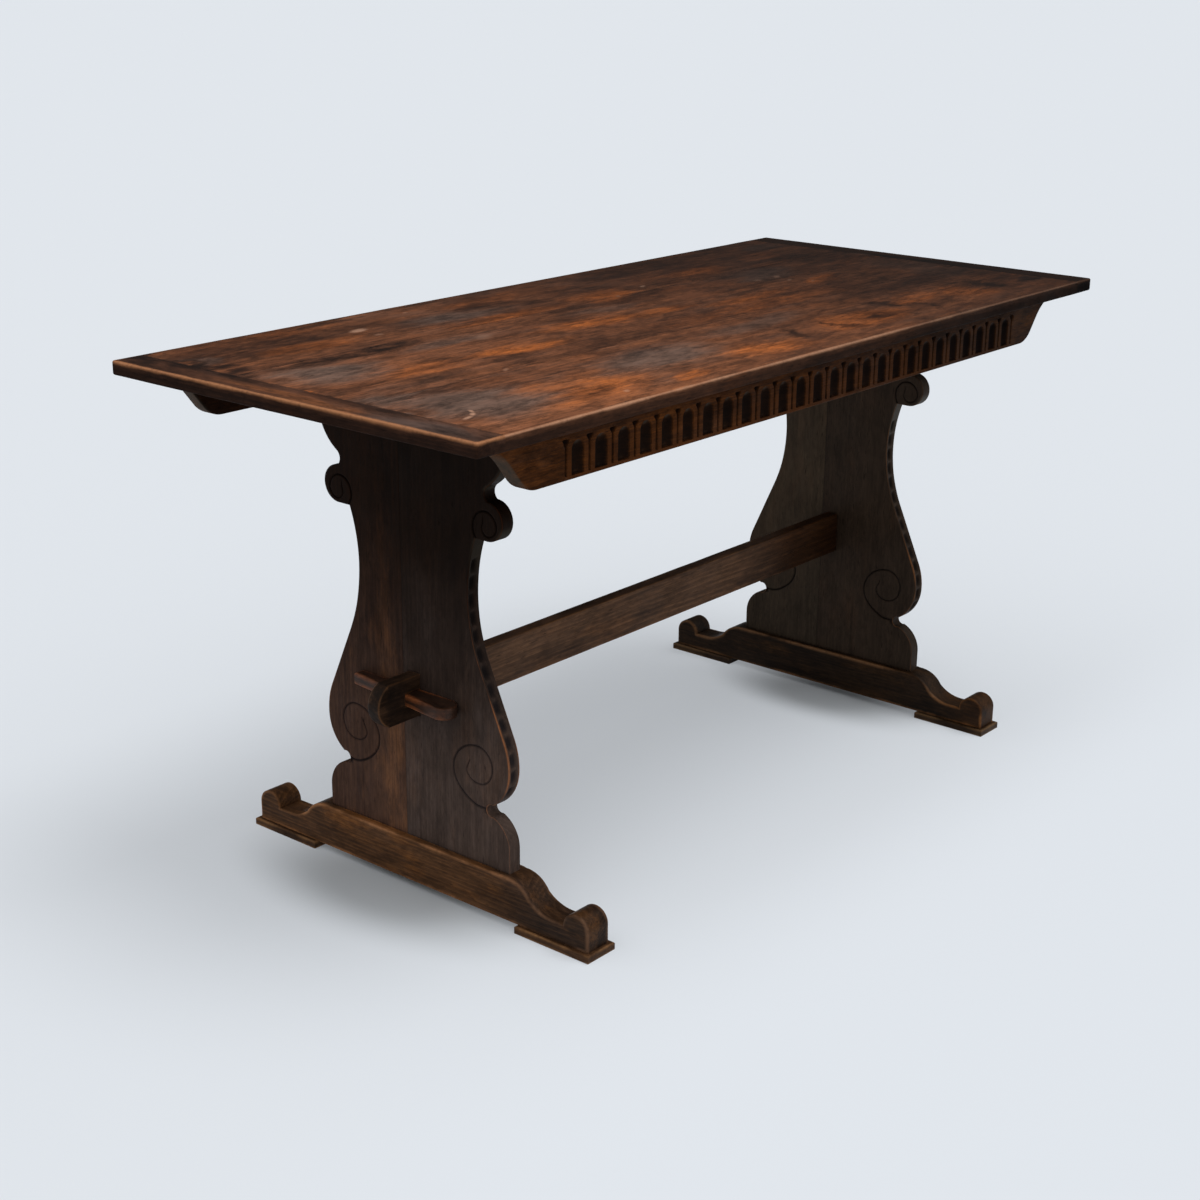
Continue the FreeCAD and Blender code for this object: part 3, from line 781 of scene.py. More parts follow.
DARK_MARKS = (
    (-0.515, 0.125, 0.26, 0.028, 0, 1), (-0.704, 0.2, 0.036, 0.2, 0, 1),
    (-0.705, -0.1, 0.02, 0.2, 0, 0.7), (-0.72, 0.31, 0.05, 0.06, 0, 1),
    (-0.57, -0.115, 0.18, 0.022, 0, 0.8), (0, 0.125, 0.25, 0.018, 0, 0.5),
    (-0.12, 0.25, 0.11, 0.022, 0, 0.8), (-0.044, 0.205, 0.05, 0.022, 0, 0.9),
    (-0.47, -0.27, 0.045, 0.022, 0.4, 0.9), (-0.33, 0.215, 0.06, 0.035, 0, 0.6),
    (0.023, -0.238, 0.02, 0.06, 0.15, 0.9), (0.127, -0.252, 0.018, 0.055, 0.3, 0.8),
    (0.204, -0.252, 0.06, 0.022, 0, 0.8), (0.311, -0.208, 0.024, 0.055, 0.3, 0.9),
    (0.348, -0.258, 0.02, 0.05, 0.2, 0.7), (0.582, -0.232, 0.034, 0.06, 0.3, 0.9),
    (0.68, -0.255, 0.05, 0.035, 0.2, 1), (0.5, -0.131, 0.3, 0.04, 0, 0.6),
    (0.713, 0, 0.02, 0.33, 0, 0.8), (0.62, 0.13, 0.13, 0.06, 0, 0.6),
    (-0.33, 0.325, 0.45, 0.016, 0, 0.8), (0.3, 0.29, 0.25, 0.045, 0, 0.5),
    (-0.56, 0.27, 0.32, 0.14, 0, 0.75), (-0.3, -0.08, 0.2, 0.02, 0, 0.5),
)
PALE_MARKS = (
    (-0.388, 0.239, 0.024, 0.012, 0.2, 1), (-0.388, 0.197, 0.012, 0.007, 0, 0.4),
    (0.175, 0.169, 0.012, 0.006, 0.5, 0.9), (0.08, 0.142, 0.008, 0.005, 0.6, 0.7),
    (-0.246, 0.288, 0.006, 0.005, 0.5, 0.6), (-0.43, -0.292, 0.01, 0.006, 0.6, 0.5),
    (-0.668, -0.243, 0.014, 0.005, 0.25, 0.8), (-0.65, -0.234, 0.011, 0.005, 0.75, 0.9),
    (-0.64, -0.222, 0.01, 0.004, 1.2, 0.8), (0.35, 0.066, 0.014, 0.008, 0, 0.5),
    (0.402, 0.064, 0.018, 0.007, 0.5, 0.6), (0.39, 0.03, 0.012, 0.005, 0.4, 0.5),
    (0.408, -0.004, 0.01, 0.004, 0.3, 0.5), (0.702, 0.09, 0.01, 0.03, 0, 0.4),
    (-0.3, 0.075, 0.03, 0.016, 0.5, 0.25), (-0.44, -0.095, 0.014, 0.005, 0.6, 0.3),
)
TOP_MARKS = {"amber_marks": AMBER_MARKS, "sheen_marks": SHEEN_MARKS, "dark_marks": DARK_MARKS,
             "pale_marks": PALE_MARKS}


def paint_shade_on_top_sides(plank):
    """The upright and lower faces of the top get painted shade, darker downwards, and the lower arris stays
    unrubbed.
    """
    height = plank.uvw[:, 2]
    down = smooth_step(-(TOP - 3 * MM), -(TOP - 9 * MM), -height)
    plank.hollow[:] = np.maximum(plank.hollow, (0.15 + 0.6 * down) * (height < TOP - 1.5 * MM))
    plank.edge[height < TOP_UNDER + 8 * MM] = UNRUBBED


def show_top_piece(word, name, node, plank, along, heart, seed, light, face, finish):
    """A piece of the top, polished on its upper face, with painted shade on its other faces: a darker and
    duller copy of its oak.
    """
    paint_shade_on_top_sides(plank)
    material = oak(word + "_oak_" + name, along, heart, seed, TOP_DARK, light, patches=0.2, **face,
                   **TOP_MARKS, **finish)
    shaded_sides = oak(word + "_side_oak_" + name, along, heart, seed, SHADED_SIDE_DARK, SHADED_SIDE_LIGHT, rough=0.5, polish=0.03,
                **finish)
    show(plank.mesh(node), node + "_wood", "root", material, word + "_wood", node, shaded_sides=shaded_sides)


def make_top():
    names = ("front", "middle", "back")
    hearts = ((0.1, -0.26, 0.6), (-0.2, 0.075, 0.7), (0.3, 0.3, 0.58))
    for name, low, high, heart, seed in zip(names, JOINTS_Y, JOINTS_Y[1:], hearts, (1.3, 4.1, 7.7)):
        outline = rectangle(-BOARD_END, low, BOARD_END, high, 6 * MM)
        ease = top_ease(lambda u, v: abs(v) > HALF_WIDTH - 1 * MM)
        plank = Plank("xyz", outline, TOP_UNDER, TOP, ease, 14 * MM)
        face = {"amber": (0.42, 0.112, 0.02), "rough": 0.4, "polish": 0.14, "grey": 0.25, "mottle": 0.5}
        finish = {"ring": 7 * MM, "wander": 60 * MM, "worn": 0.95, "unbroken": 0.6, "worn_reach": 4.5 * MM,
                  "worn_tone": (0.34, 0.17, 0.095), "painted_light_and_shade": TOP_PAINTED_LIGHT}
        show_top_piece("top", name, "top_board_" + name, plank, "x", heart, seed, TOP_LIGHT, face, finish)
    for side, name in ((-1, "left"), (1, "right")):
        inner, outer = side * BOARD_END, side * HALF_LENGTH
        near, far = -HALF_WIDTH, HALF_WIDTH
        lean = CORNER * (1 - math.sqrt(0.5))
        outline = Outline((inner, near), 5 * MM)
        outline.line((outer - side * CORNER, near))
        outline.arc((outer - side * lean, near + lean), (outer, near + CORNER), 1.5 * MM)
        outline.line((outer, far - CORNER))
        outline.arc((outer - side * lean, far - lean), (outer - side * CORNER, far), 1.5 * MM)
        outline.line((inner, far)).line((inner, near))
        ease = top_ease(lambda u, v: abs(u) > BOARD_END + 0.5 * MM)
        plank = Plank("xyz", outline.closed(), TOP_UNDER, TOP, ease, 12 * MM)
        heart = (side * 0.73, 0.1, 0.66)
        face = {"amber": (0.24, 0.08, 0.024), "rough": 0.42, "polish": 0.12, "streaks": 0.4, "grey": 0.3,
                "mottle": 0.45}
        finish = {"ring": 6 * MM, "wander": 40 * MM, "worn": 0.95, "unbroken": 0.85, "worn_reach": 6 * MM,
                  "worn_tone": (0.48, 0.2, 0.08), "painted_light_and_shade": BREADBOARD_PAINTED_LIGHT}
        show_top_piece("breadboard", name, "breadboard_end_" + name, plank, "y", heart, 2.2 + side,
                       BREADBOARD_LIGHT, face, finish)


make_top()


# Repeats
def repeat_tree():
    """One piece set out in a row, joined to what it belongs to."""
    tree = bpy.data.node_groups.new("repeat_in_a_row", "GeometryNodeTree")
    sockets = (("Geometry", "Geometry"), ("Piece", "Object"), ("Count", "Int"), ("Start", "Vector"),
               ("Step", "Vector"), ("Turn", "Rotation"), ("Weld", "Float"), ("Finish", "Material"))
    for name, kind in sockets:
        tree.interface.new_socket(name, in_out="INPUT", socket_type="NodeSocket" + kind)
    tree.interface.new_socket("Geometry", in_out="OUTPUT", socket_type="NodeSocketGeometry")
    nodes = Nodes(tree)
    given = tree.nodes.new("NodeGroupInput").outputs
    places = nodes.add("GeometryNodeMeshLine", {"Count": given["Count"], "Start Location": given["Start"],
                                                "Offset": given["Step"]}).outputs[0]
    piece = nodes.add("GeometryNodeObjectInfo", {"Object": given["Piece"]}).outputs["Geometry"]
    row = nodes.add("GeometryNodeInstanceOnPoints", {"Points": places, "Instance": piece,
                                                     "Rotation": given["Turn"]}).outputs[0]
    row = nodes.add("GeometryNodeRealizeInstances", {"Geometry": row}).outputs[0]
    both = nodes.add("GeometryNodeJoinGeometry")
    tree.links.new(row, both.inputs[0])
    tree.links.new(given["Geometry"], both.inputs[0])
    welded = nodes.add("GeometryNodeMergeByDistance", {"Geometry": both.outputs[0],
                                                       "Distance": given["Weld"]}).outputs[0]
    finished = nodes.add("GeometryNodeSetMaterial", {"Geometry": welded, "Material": given["Finish"]})
    result = tree.nodes.new("NodeGroupOutput")
    tree.links.new(finished.outputs[0], result.inputs[0])
    return tree


REPEAT = repeat_tree()


def in_a_row(name, piece, count, start, step, finish, turn=(0, 0, 0), weld=0.0, join=None):
    """The plain mesh of a row of pieces, with any mesh that the row is joined to."""
    single = new_object(name + "_single", piece)
    holder = new_object(name + "_row", join or bpy.data.meshes.new(name + "_start"))
    modifier = holder.modifiers.new("row", "NODES")
    modifier.node_group = REPEAT
    ids = {item.name: item.identifier for item in REPEAT.interface.items_tree if item.in_out == "INPUT"}
    values = {"Piece": single, "Count": count, "Start": start, "Step": step, "Turn": turn, "Weld": weld,
              "Finish": finish}
    for label, value in values.items():
        modifier[ids[label]] = value
    holder.update_tag()
    ready = holder.evaluated_get(bpy.context.evaluated_depsgraph_get())
    mesh = bpy.data.meshes.new_from_object(ready)
    mesh.name = name
    holder.modifiers.remove(modifier)
    bpy.data.objects.remove(holder)
    bpy.data.objects.remove(single)
    return smoothed(mesh)


# Aprons
APRON_DARK = (0.03, 0.0105, 0.0035)
APRON_LIGHT = (0.09, 0.027, 0.005)
# Painted light falling off towards the right.
APRON_PAINTED_LIGHT = ((-0.3, 0, 0.7), (0.5, 0, 0.7), (1, 1, 1), (0.46, 0.54, 0.74))
APRON_EASE = 1.6 * MM
NICK_TOP = APRON_UNDER + 53 * MM
NICK_FOOT = APRON_UNDER + 41 * MM
NICK_HALF = 8.5 * MM


def quirk_levels():
    """Heights at which two lengths of apron meet along a quirk."""
    low = [FLUTE_FOOT, FLUTE_FOOT + 0.9 * MM]
    middle = list(np.arange(FLUTE_FOOT + 3 * MM, NICK_FOOT - 1 * MM, 3 * MM))
    high = [NICK_FOOT, NICK_FOOT + 5 * MM, NICK_FOOT + 9 * MM, NICK_TOP, NICK_TOP + 1 * MM, NICK_TOP + 7 * MM]
    return low + middle + high


def carved_depth(u, v):
    """How deep the carving is at a place of the cell, which runs from quirk to quirk."""
    radius = (FLUTE_HALF ** 2 + FLUTE_DEPTH ** 2) / (2 * FLUTE_DEPTH)
    above = np.maximum(v - FLUTE_SPRING, 0)
    reach = np.hypot(u, above)
    flute = np.sqrt(np.maximum(radius ** 2 - reach ** 2, 0)) - (radius - FLUTE_DEPTH)
    flute = np.where((reach < FLUTE_HALF) & (v > FLUTE_FOOT + 1e-6), flute, 0)
    across = FLUTE_PITCH / 2 - np.abs(u)
    quirk = QUIRK_DEPTH * np.clip(1 - across / QUIRK_HALF, 0, 1)
    quirk = np.where((v > FLUTE_FOOT + 1e-6) & (v < NICK_TOP - 1e-6), quirk, 0)
    rise = (v - NICK_FOOT) / (NICK_TOP - NICK_FOOT)
    slant = np.clip(2.0 * (rise - across / NICK_HALF), 0, 1)
    nick = np.where(rise < 1 - 1e-6, 4.6 * MM * np.minimum(slant, 4.5 * np.clip(1 - rise, 0, 1)), 0)
    return np.maximum(np.maximum(flute, quirk), nick)


def carved_dark(u, v):
    depth = carved_depth(u, v)
    return np.clip(depth / (2.2 * MM), 0, 1) ** 0.8


def set_by_eye(mesh):
    """Moves an evenly carved row to the carver's spacing, which closes up towards the right."""
    places = np.empty(len(mesh.vertices) * 3)
    mesh.vertices.foreach_get("co", places)
    x = places[0::3]
    places[0::3] += ROW_CROWDING * np.maximum(1 - (2 * x / FLUTE_ROW) ** 2, 0) - ROW_SHIFT
    mesh.vertices.foreach_set("co", places)


def flute_points():
    """Places for the mesh to follow the flute's arch and the cuts at both of its sides."""
    points = []

    def add_arch(reach, count):
        for turn in np.linspace(0, math.pi, count + 1):
            points.append((reach * math.cos(turn), FLUTE_SPRING + reach * math.sin(turn)))

    heights = [*np.arange(FLUTE_FOOT + 3.5 * MM, FLUTE_SPRING, 3 * MM), FLUTE_FOOT, FLUTE_FOOT + 0.9 * MM]
    for share in (1.0, 0.94, 0.82, 0.62, 0.36, 0.0):
        points += [(side * share * FLUTE_HALF, v) for v in heights for side in ((-1, 1) if share else (1,))]
        add_arch(share * FLUTE_HALF, 1 if share == 0 else max(8, round(22 * share)))
    rim = FLUTE_HALF + 1.1 * MM
    for v in np.arange(FLUTE_FOOT, FLUTE_SPRING, 3 * MM):
        points += [(-rim, v), (rim, v)]
    add_arch(rim, 24)
    edge = FLUTE_PITCH / 2
    for v in quirk_levels():
        for across in (QUIRK_HALF, QUIRK_HALF + 1.2 * MM):
            if v < NICK_FOOT:
                points += [(-edge + across, v), (edge - across, v)]
    for rise in (0.25, 0.5, 0.75, 1.0):
        v = NICK_FOOT + rise * (NICK_TOP - NICK_FOOT) - (0.01 * MM if rise == 1 else 0)
        for share in (0.33, 0.66, 1.0):
            across = share * rise * NICK_HALF
            points += [(-edge + across, v), (edge - across, v)]
    points = np.array(points)
    return points[thin(points, 0.6 * MM)]


def strip_wear_and_painted_light(plank):
    """The strips beside and below each flute are rubbed and the band above isn't. The band above gets painted
    shade, each flute's head a painted highlight and its foot a spot of grey dirt.
    """
    u, v, w = plank.uvw.T
    face = (w > APRON_FACE - 8 * MM) & ~plank.wall
    plank.edge[face] = UNRUBBED
    strips = face & (plank.hollow < 0.15) & (v < FLUTE_SPRING + 8 * MM)
    upward = smooth_step(FLUTE_SPRING - 14 * MM, FLUTE_SPRING + 8 * MM, v[strips])
    plank.edge[strips] = 0.4 * MM + 2.4 * MM * upward
    # Painted shade on the band under the top.
    above = face & (v > FLUTE_SPRING + FLUTE_HALF + 1.5 * MM)
    plank.hollow[above] = np.maximum(plank.hollow[above], 0.25)
    # A painted highlight at each flute's head, and grey dirt at its foot.
    head = np.hypot(u, (v - FLUTE_SPRING - 0.72 * FLUTE_HALF) * 1.6) / (4.5 * MM)
    foot = np.hypot(u, (v - FLUTE_FOOT - 2.5 * MM) * 1.4) / (4.5 * MM)
    head_highlight_and_foot_dust = np.maximum(0.75 * np.exp(-head ** 2), 0.3 * np.exp(-foot ** 2)) * (face & (plank.hollow > 0.3))
    plank.dust[:] = np.maximum(plank.dust, head_highlight_and_foot_dust)
    plank.hollow -= 0.8 * head_highlight_and_foot_dust * plank.hollow


def apron_ease(u, v, nu, nv):
    from_tip = APRON_TIP - abs(u + APRON_SHIFT - ROW_SHIFT)
    near_tip = 0.2 * MM + 0.05 * max(from_tip - 8 * MM, 0)
    radius = min(APRON_EASE if nv < 0.6 else 0.3 * MM, near_tip)
    return radius, radius


def flute_cell():
    half = FLUTE_PITCH / 2
    levels = [APRON_UNDER] + quirk_levels() + [TOP_UNDER]
    outline = [(x, APRON_UNDER) for x in np.linspace(-half, half, 13)]
    outline += [(half, v) for v in levels[1:]]
    outline += [(x, TOP_UNDER) for x in np.linspace(half, -half, 9)[1:]]
    outline += [(-half, v) for v in levels[-2:0:-1]]
    plank = Plank("xzy", outline, APRON_FACE - APRON_THICK, APRON_FACE, apron_ease, 4 * MM,
                  points=flute_points(), open_edge=lambda u, v, nu, nv: abs(nu) > 0.9)
    plank.sink(1, carved_depth, carved_dark)
    strip_wear_and_painted_light(plank)
    return plank


def horn_end(side):
    """The apron from its last quirk to the tip of its shaped end."""
    def at(shares):
        along = side * (APRON_TIP - shares[0] * HORN) - APRON_SHIFT + ROW_SHIFT
        return (along, APRON_UNDER + shares[1] * APRON_HEIGHT)

    start = side * FLUTE_ROW / 2
    tip, cove, cove_end, swell, swell_mid, level = (at(s) for s in HORN_SHARES)
    outline = Outline((start, APRON_UNDER), 3 * MM)
    outline.line(level).arc(swell_mid, swell).line(cove_end).arc(cove, tip).line((start, TOP_UNDER))
    for v in reversed(quirk_levels()):
        outline.points.append(Vector((start, v)))
    plank = Plank("xzy", outline.closed(), APRON_FACE - APRON_THICK, APRON_FACE, apron_ease, 7 * MM,
                  points=[(start + side * QUIRK_HALF, v) for v in quirk_levels()],
                  open_edge=lambda u, v, nu, nv: nu * side < -0.9)

    def depth(u, v):
        inner = FLUTE_PITCH / 2 - np.abs(u - start)
        return carved_depth(np.maximum(inner, FLUTE_HALF + 1 * MM), v)

    plank.sink(1, depth, lambda u, v: np.clip(depth(u, v) / (2.2 * MM), 0, 1))
    plank.edge[:] = UNRUBBED
    # Painted shade on the inner face, which lies under the top, and painted reflection of the floor on the
    # walls that look down.
    inner = plank.uvw[:, 2] < APRON_FACE - APRON_THICK + 0.5 * MM
    plank.hollow[inner] = 0.75
    plank.paint_floor_reflection_below(0.5)
    return plank


def joined(meshes, name):
    """Several meshes as one, with their attributes."""
    places = []
    faces = []
    values = {"edge": [], "hollow": [], "dust": []}
    for mesh in meshes:
        start = len(places)
        places += [tuple(v.co) for v in mesh.vertices]
        faces += [[start + i for i in face.vertices] for face in mesh.polygons]
        for label, found in values.items():
            found += [item.value for item in mesh.attributes[label].data]
    mesh = new_mesh(name, places, faces)
    for label, found in values.items():
        mesh.attributes.new(label, "FLOAT", "POINT").data.foreach_set("value", found)
    return mesh


def make_aprons():
    cell, left, right = flute_cell(), horn_end(-1), horn_end(1)
    for side, mirror, heart_z, seed in (("back", None, 0.62, 3.4), ("front", "y", 0.8, 9.2)):
        name = "apron_" + side
        material = oak(name + "_oak", "x", (0.2, 0.25 if side == "back" else -0.33, heart_z), seed,
                       APRON_DARK, APRON_LIGHT, amber=(0.15, 0.044, 0.006), ring=4 * MM, worn=0.7,
                       unbroken=0.15, worn_reach=3 * MM, worn_tone=(0.072, 0.0215, 0.0045), rough=0.5,
                       polish=0.02, patches=0.4, mottle=0.5, painted_light_and_shade=APRON_PAINTED_LIGHT)
        ends = joined([left.mesh("end", mirror), right.mesh("end", mirror)], name)
        start = (-(FLUTES - 1) / 2 * FLUTE_PITCH, 0, 0)
        mesh = in_a_row(name, cell.mesh("cell", mirror), FLUTES, start, (FLUTE_PITCH, 0, 0), material,
                        weld=0.02 * MM, join=ends)
        set_by_eye(mesh)
        show(mesh, name + "_carved", "root", material, "apron_wood", name)


make_aprons()


# Trestles
BELLY_SCROLL = ((147, 158), (137, 160), (115, 161), (92, 173), (77, 190), (73, 210), (82, 231), (101, 245),
                (124, 248), (140, 238), (146, 221), (140, 203), (126, 194), (108, 196), (98, 208), (104, 224))
HEAD_SCROLL = ((120, 543), (115, 556), (117, 570), (127, 581), (142, 583), (154, 574), (157, 561), (149, 551),
               (138, 550), (131, 558), (133, 568))
BELLY_CUT = 2.6 * MM
HEAD_CUT = 2.2 * MM
SCOOPS = 14
SCOOP_LOW = 181 * MM
SCOOP_HIGH = 514 * MM
SCOOP_DEPTH = 3.2 * MM


def lyre_side(outline, side):
    """One side of a trestle, from the foot up to the top."""
    half, height, throat, head = 177, 655, 147, 141
    collar, collar_top = 467.8, 521.8

    def at(y, z):
        return (side * y * MM, FOOT_TOP + z * MM)

    belly, belly_radius = (half, 148.4), 107.7
    waist_z, waist_radius, waist = 384.6, 239.3, 104
    belly_y, waist_y = half - belly_radius, waist + waist_radius
    across, up = waist_y - belly_y, waist_z - belly[1]
    lean = math.atan2(up, across) - math.acos((belly_radius + waist_radius) / math.hypot(across, up))

    def on_belly(angle):
        return at(belly_y + belly_radius * math.cos(angle), belly[1] + belly_radius * math.sin(angle))

    def on_waist(angle):
        return at(waist_y - waist_radius * math.cos(angle), waist_z - waist_radius * math.sin(angle))

    def upright_arc(inner, outer, side_up):
        """The middle of an arc that leaves the outer point upright."""
        run, rise = outer[0] - inner[0], abs(outer[1] - inner[1])
        radius = (run ** 2 + rise ** 2) / (2 * run)
        sweep = math.asin(rise / radius) / 2
        return at(outer[0] - radius + radius * math.cos(sweep), outer[1] - side_up * radius * math.sin(sweep))

    collar_angle = -math.asin((collar - waist_z) / waist_radius)
    outline.line(at(half, 0)).line(at(half, 32.7))
    outline.arc(upright_arc((throat, 76.1), (half, 32.7), -1), at(throat, 76.1), 2 * MM)
    outline.arc(at(135, 84.6), at(throat, 93.1), 1.2 * MM)
    outline.arc(upright_arc((throat, 93.1), belly, 1), at(*belly), 2 * MM)
    outline.arc(on_belly(lean / 2), on_belly(lean), 2 * MM)
    outline.step = 2 * MM
    outline.line(on_waist(lean))
    outline.step = 4 * MM
    outline.arc(on_waist((lean + collar_angle) / 2), on_waist(collar_angle), 2 * MM)
    outline.line(at(head, collar))
    outline.arc(at(168, (collar + collar_top) / 2), at(head, collar_top), 2 * MM)
    outline.arc(at(136, 531.8), at(head, 541.8), 1.5 * MM)
    outline.arc(upright_arc((head, 541.8), (half, 607.8), 1), at(half, 607.8), 2.5 * MM)
    outline.line(at(half, height))
    return outline


def cut_scroll(plank, points, side, half_width, depth, pit=None):
    """A V cut along a scroll, on both faces, wide where it starts and fine at its eye."""
    line = curve_through([(side * y * MM, z * MM) for y, z in points])

    def share_of_depth(u, v):
        gap, where = nearest_stretch(np.stack([u, v], axis=1), line[:-1], line[1:])
        where /= len(line) - 1
        reach = half_width * (1 - 0.45 * where)
        share = np.clip(1 - gap / reach, 0, 1) * (1 - 0.35 * where)
        if pit:
            far = np.hypot(u - side * pit[0] * MM, (v - pit[1] * MM) * 1.5)
            share = np.maximum(share, 1.25 * np.clip(1 - (far / (pit[2] * MM)) ** 2, 0, 1))
        return share

    for which in (1, -1):
        plank.sink(which, lambda u, v: depth * share_of_depth(u, v), lambda u, v: share_of_depth(u, v) ** 0.6)


def scroll_points(points, side, half_width):
    line = curve_through([(side * y * MM, z * MM) for y, z in points])
    return beside(line, [share * half_width for share in (-1.5, -1, -0.5, 0, 0.5, 1, 1.5)])


def cut_scoops(plank):
    """The row of gouge cuts along the flank, on the thickness, between two plain strips."""
    grid, loop, inward = plank.walls[0]
    inward = unit(inward)
    rows = plank.uvw[grid[:, 0], 2]
    middle, thick = (plank.low + plank.high) / 2, plank.high - plank.low
    across = (rows - plank.low) / thick
    reach = smooth_step(0.1, 0.22, across) * (1 - smooth_step(0.62, 0.7, across))
    flank = [i for i in range(len(loop)) if SCOOP_LOW < loop[i][1] < SCOOP_HIGH and abs(loop[i][0]) > 60 * MM]
    steps = [0.0]
    for a, b in zip(flank, flank[1:]):
        steps.append(steps[-1] + float(np.linalg.norm(loop[b] - loop[a])))
    pitch = steps[-1] / SCOOPS
    for i, far in zip(flank, steps):
        place = (far % pitch) / pitch
        bowl = max(0.0, 1 - ((place - 0.5) / 0.43) ** 2) ** 0.7
        for row, share in zip(grid[:, i], reach):
            shift = bowl * share * SCOOP_DEPTH
            plank.uvw[row, :2] += shift * inward[i]
            plank.hollow[row] = max(plank.hollow[row], min(1.0, 1.1 * bowl * share))


def trestle_board(side):
    """One of a trestle's two boards: side 1 is the one at the back."""
    outline = Outline((GLUE_LINE, FOOT_TOP))
    lyre_side(outline, side).line((GLUE_LINE, TOP_UNDER)).line((GLUE_LINE, FOOT_TOP))
    spare = 0.25 * MM
    mortise = rectangle(-TENON_HALF - spare, TENON_LOW - spare, TENON_HALF + spare, TENON_HIGH + spare)
    points = np.concatenate([scroll_points(BELLY_SCROLL, side, BELLY_CUT),
                             scroll_points(HEAD_SCROLL, side, HEAD_CUT)])

    def ease(u, v, nu, nv):
        if abs(u - GLUE_LINE) < 0.1 * MM:
            return 0.25 * MM, 0.25 * MM
        if v > TOP_UNDER - 1e-6 or v < FOOT_TOP + 1e-6 or abs(u) < TENON_HALF + 1 * MM:
            return 0.4 * MM, 0.4 * MM
        return by_hand(1.5 * MM, u, v, 0.4, 25, 5.0)

    plank = Plank("yzx", outline.closed(), -TRESTLE_THICK / 2, TRESTLE_THICK / 2, ease, 9 * MM,
                  holes=[mortise] if side < 0 else [], points=points, rows=9)
    cut_scroll(plank, BELLY_SCROLL, side, BELLY_CUT, 2.4 * MM, pit=(137, 158, 9))
    cut_scroll(plank, HEAD_SCROLL, side, HEAD_CUT, 2.0 * MM)
    cut_scoops(plank)
    height = plank.uvw[:, 1]
    plank.edge *= 1 + 3 * smooth_step(0.24, 0.46, height) + 3 * (1 - smooth_step(0.12, 0.18, height))
    # Painted reflection of the floor: grey on the walls that look down, above 0.35 m and under the collar.
    plank.paint_floor_reflection_below(0.6, 0.35)
    under_collar_sheen = 0.5 * smooth_step(0.46, 0.51, height) * (1 - smooth_step(0.53, 0.545, height))
    plank.dust = np.maximum(plank.dust, under_collar_sheen * plank.wall)
    return plank


def at_both_ends(plank):
    """Moves a plank from the middle to the left trestle's place, and then to the right one's."""
    place = 0.0
    for hand, x in (("left", -TRESTLE_X), ("right", TRESTLE_X)):
        plank.uvw[:, 2] += x - place
        plank.low += x - place
        plank.high += x - place
        place = x
        yield hand, x


# The front and back boards, -1 and 1: dark and light tones of the oak, and how much of it is amber.
TRESTLE_TONES = {
    ("left", -1): ((0.013, 0.0072, 0.0046), (0.025, 0.0138, 0.0086), 0.08),
    ("left", 1): ((0.018, 0.008, 0.0046), (0.042, 0.0175, 0.0084), 0.6),
    ("right", -1): ((0.025, 0.0162, 0.0108), (0.039, 0.0252, 0.0168), 0.1),
    ("right", 1): ((0.045, 0.03, 0.0185), (0.069, 0.046, 0.0285), 0.15),
}
TRESTLE_WORN = {"left": (0.115, 0.036, 0.011), "right": (0.21, 0.085, 0.03)}
TRESTLE_POLISH = {"left": 0.025, "right": 0.05}
# Painted light and shade: the left trestle in painted shade under the top and painted light towards the
# floor, the right one a little darker towards the floor.
TRESTLE_PAINTED_LIGHT_AND_SHADE = {
    ("left", -1): ((0, 0, 0.52), (0, 0, 0.14), (0.48, 0.4, 0.33), (3.2, 3.9, 5.0)),
    ("left", 1): ((0, 0, 0.58), (0, 0, 0.12), (0.34, 0.31, 0.26), (2.1, 2.6, 3.5)),
    ("right", -1): ((0, 0, 0.6), (0, 0, 0.1), (1.1, 1.05, 1.0), (0.85, 0.85, 0.85)),
    ("right", 1): ((0, 0, 0.4), (0, 0, 0.1), (1.0, 1.0, 1.0), (0.6, 0.62, 0.66)),
}


def make_trestles():
    for side, word in ((-1, "front"), (1, "back")):
        plank = trestle_board(side)
        for hand, x in at_both_ends(plank):
            dark, light, patches = TRESTLE_TONES[hand, side]
            node = "trestle_" + hand + "_" + word + "_board"
            material = oak(node + "_oak", "z", (x + 0.05, side * 0.08, 0.3), x * 10 + side, dark, light,
                           amber=(0.11, 0.038, 0.012), ring=6 * MM, wander=45 * MM, worn=0.85,
                           worn_reach=2.6 * MM, worn_tone=TRESTLE_WORN[hand], rough=0.46,
                           polish=TRESTLE_POLISH[hand], patches=patches, streaks=0.25, grey=0.05, mottle=0.2,
                           painted_light_and_shade=TRESTLE_PAINTED_LIGHT_AND_SHADE[hand, side])
            show(plank.mesh(node), node + "_carved", "root", material, "trestle_wood", node)


make_trestles()


# Feet and pads
def foot_outline():
    """A foot from the side: level, an ogee down to a cove, then a round knob."""
    def at(y, z):
        return (y * MM, z * MM)

    outline = Outline(at(-326, 11), 3 * MM)
    outline.line(at(326, 11)).line(at(326, 38.5)).arc(at(304, 60.5), at(282, 38.5), 2 * MM)
    outline.line(at(262, 38.5))
    outline.arc(at(238.9, 42.9), at(221, 53.8), 2.5 * MM).arc(at(203.8, 69.5), at(180, 75), 2.5 * MM)
    outline.line(at(-180, 75))
    outline.arc(at(-203.8, 69.5), at(-221, 53.8), 2.5 * MM).arc(at(-238.9, 42.9), at(-262, 38.5), 2.5 * MM)
    outline.line(at(-282, 38.5)).arc(at(-304, 60.5), at(-326, 38.5), 2 * MM).line(at(-326, 11))
    return outline.closed()


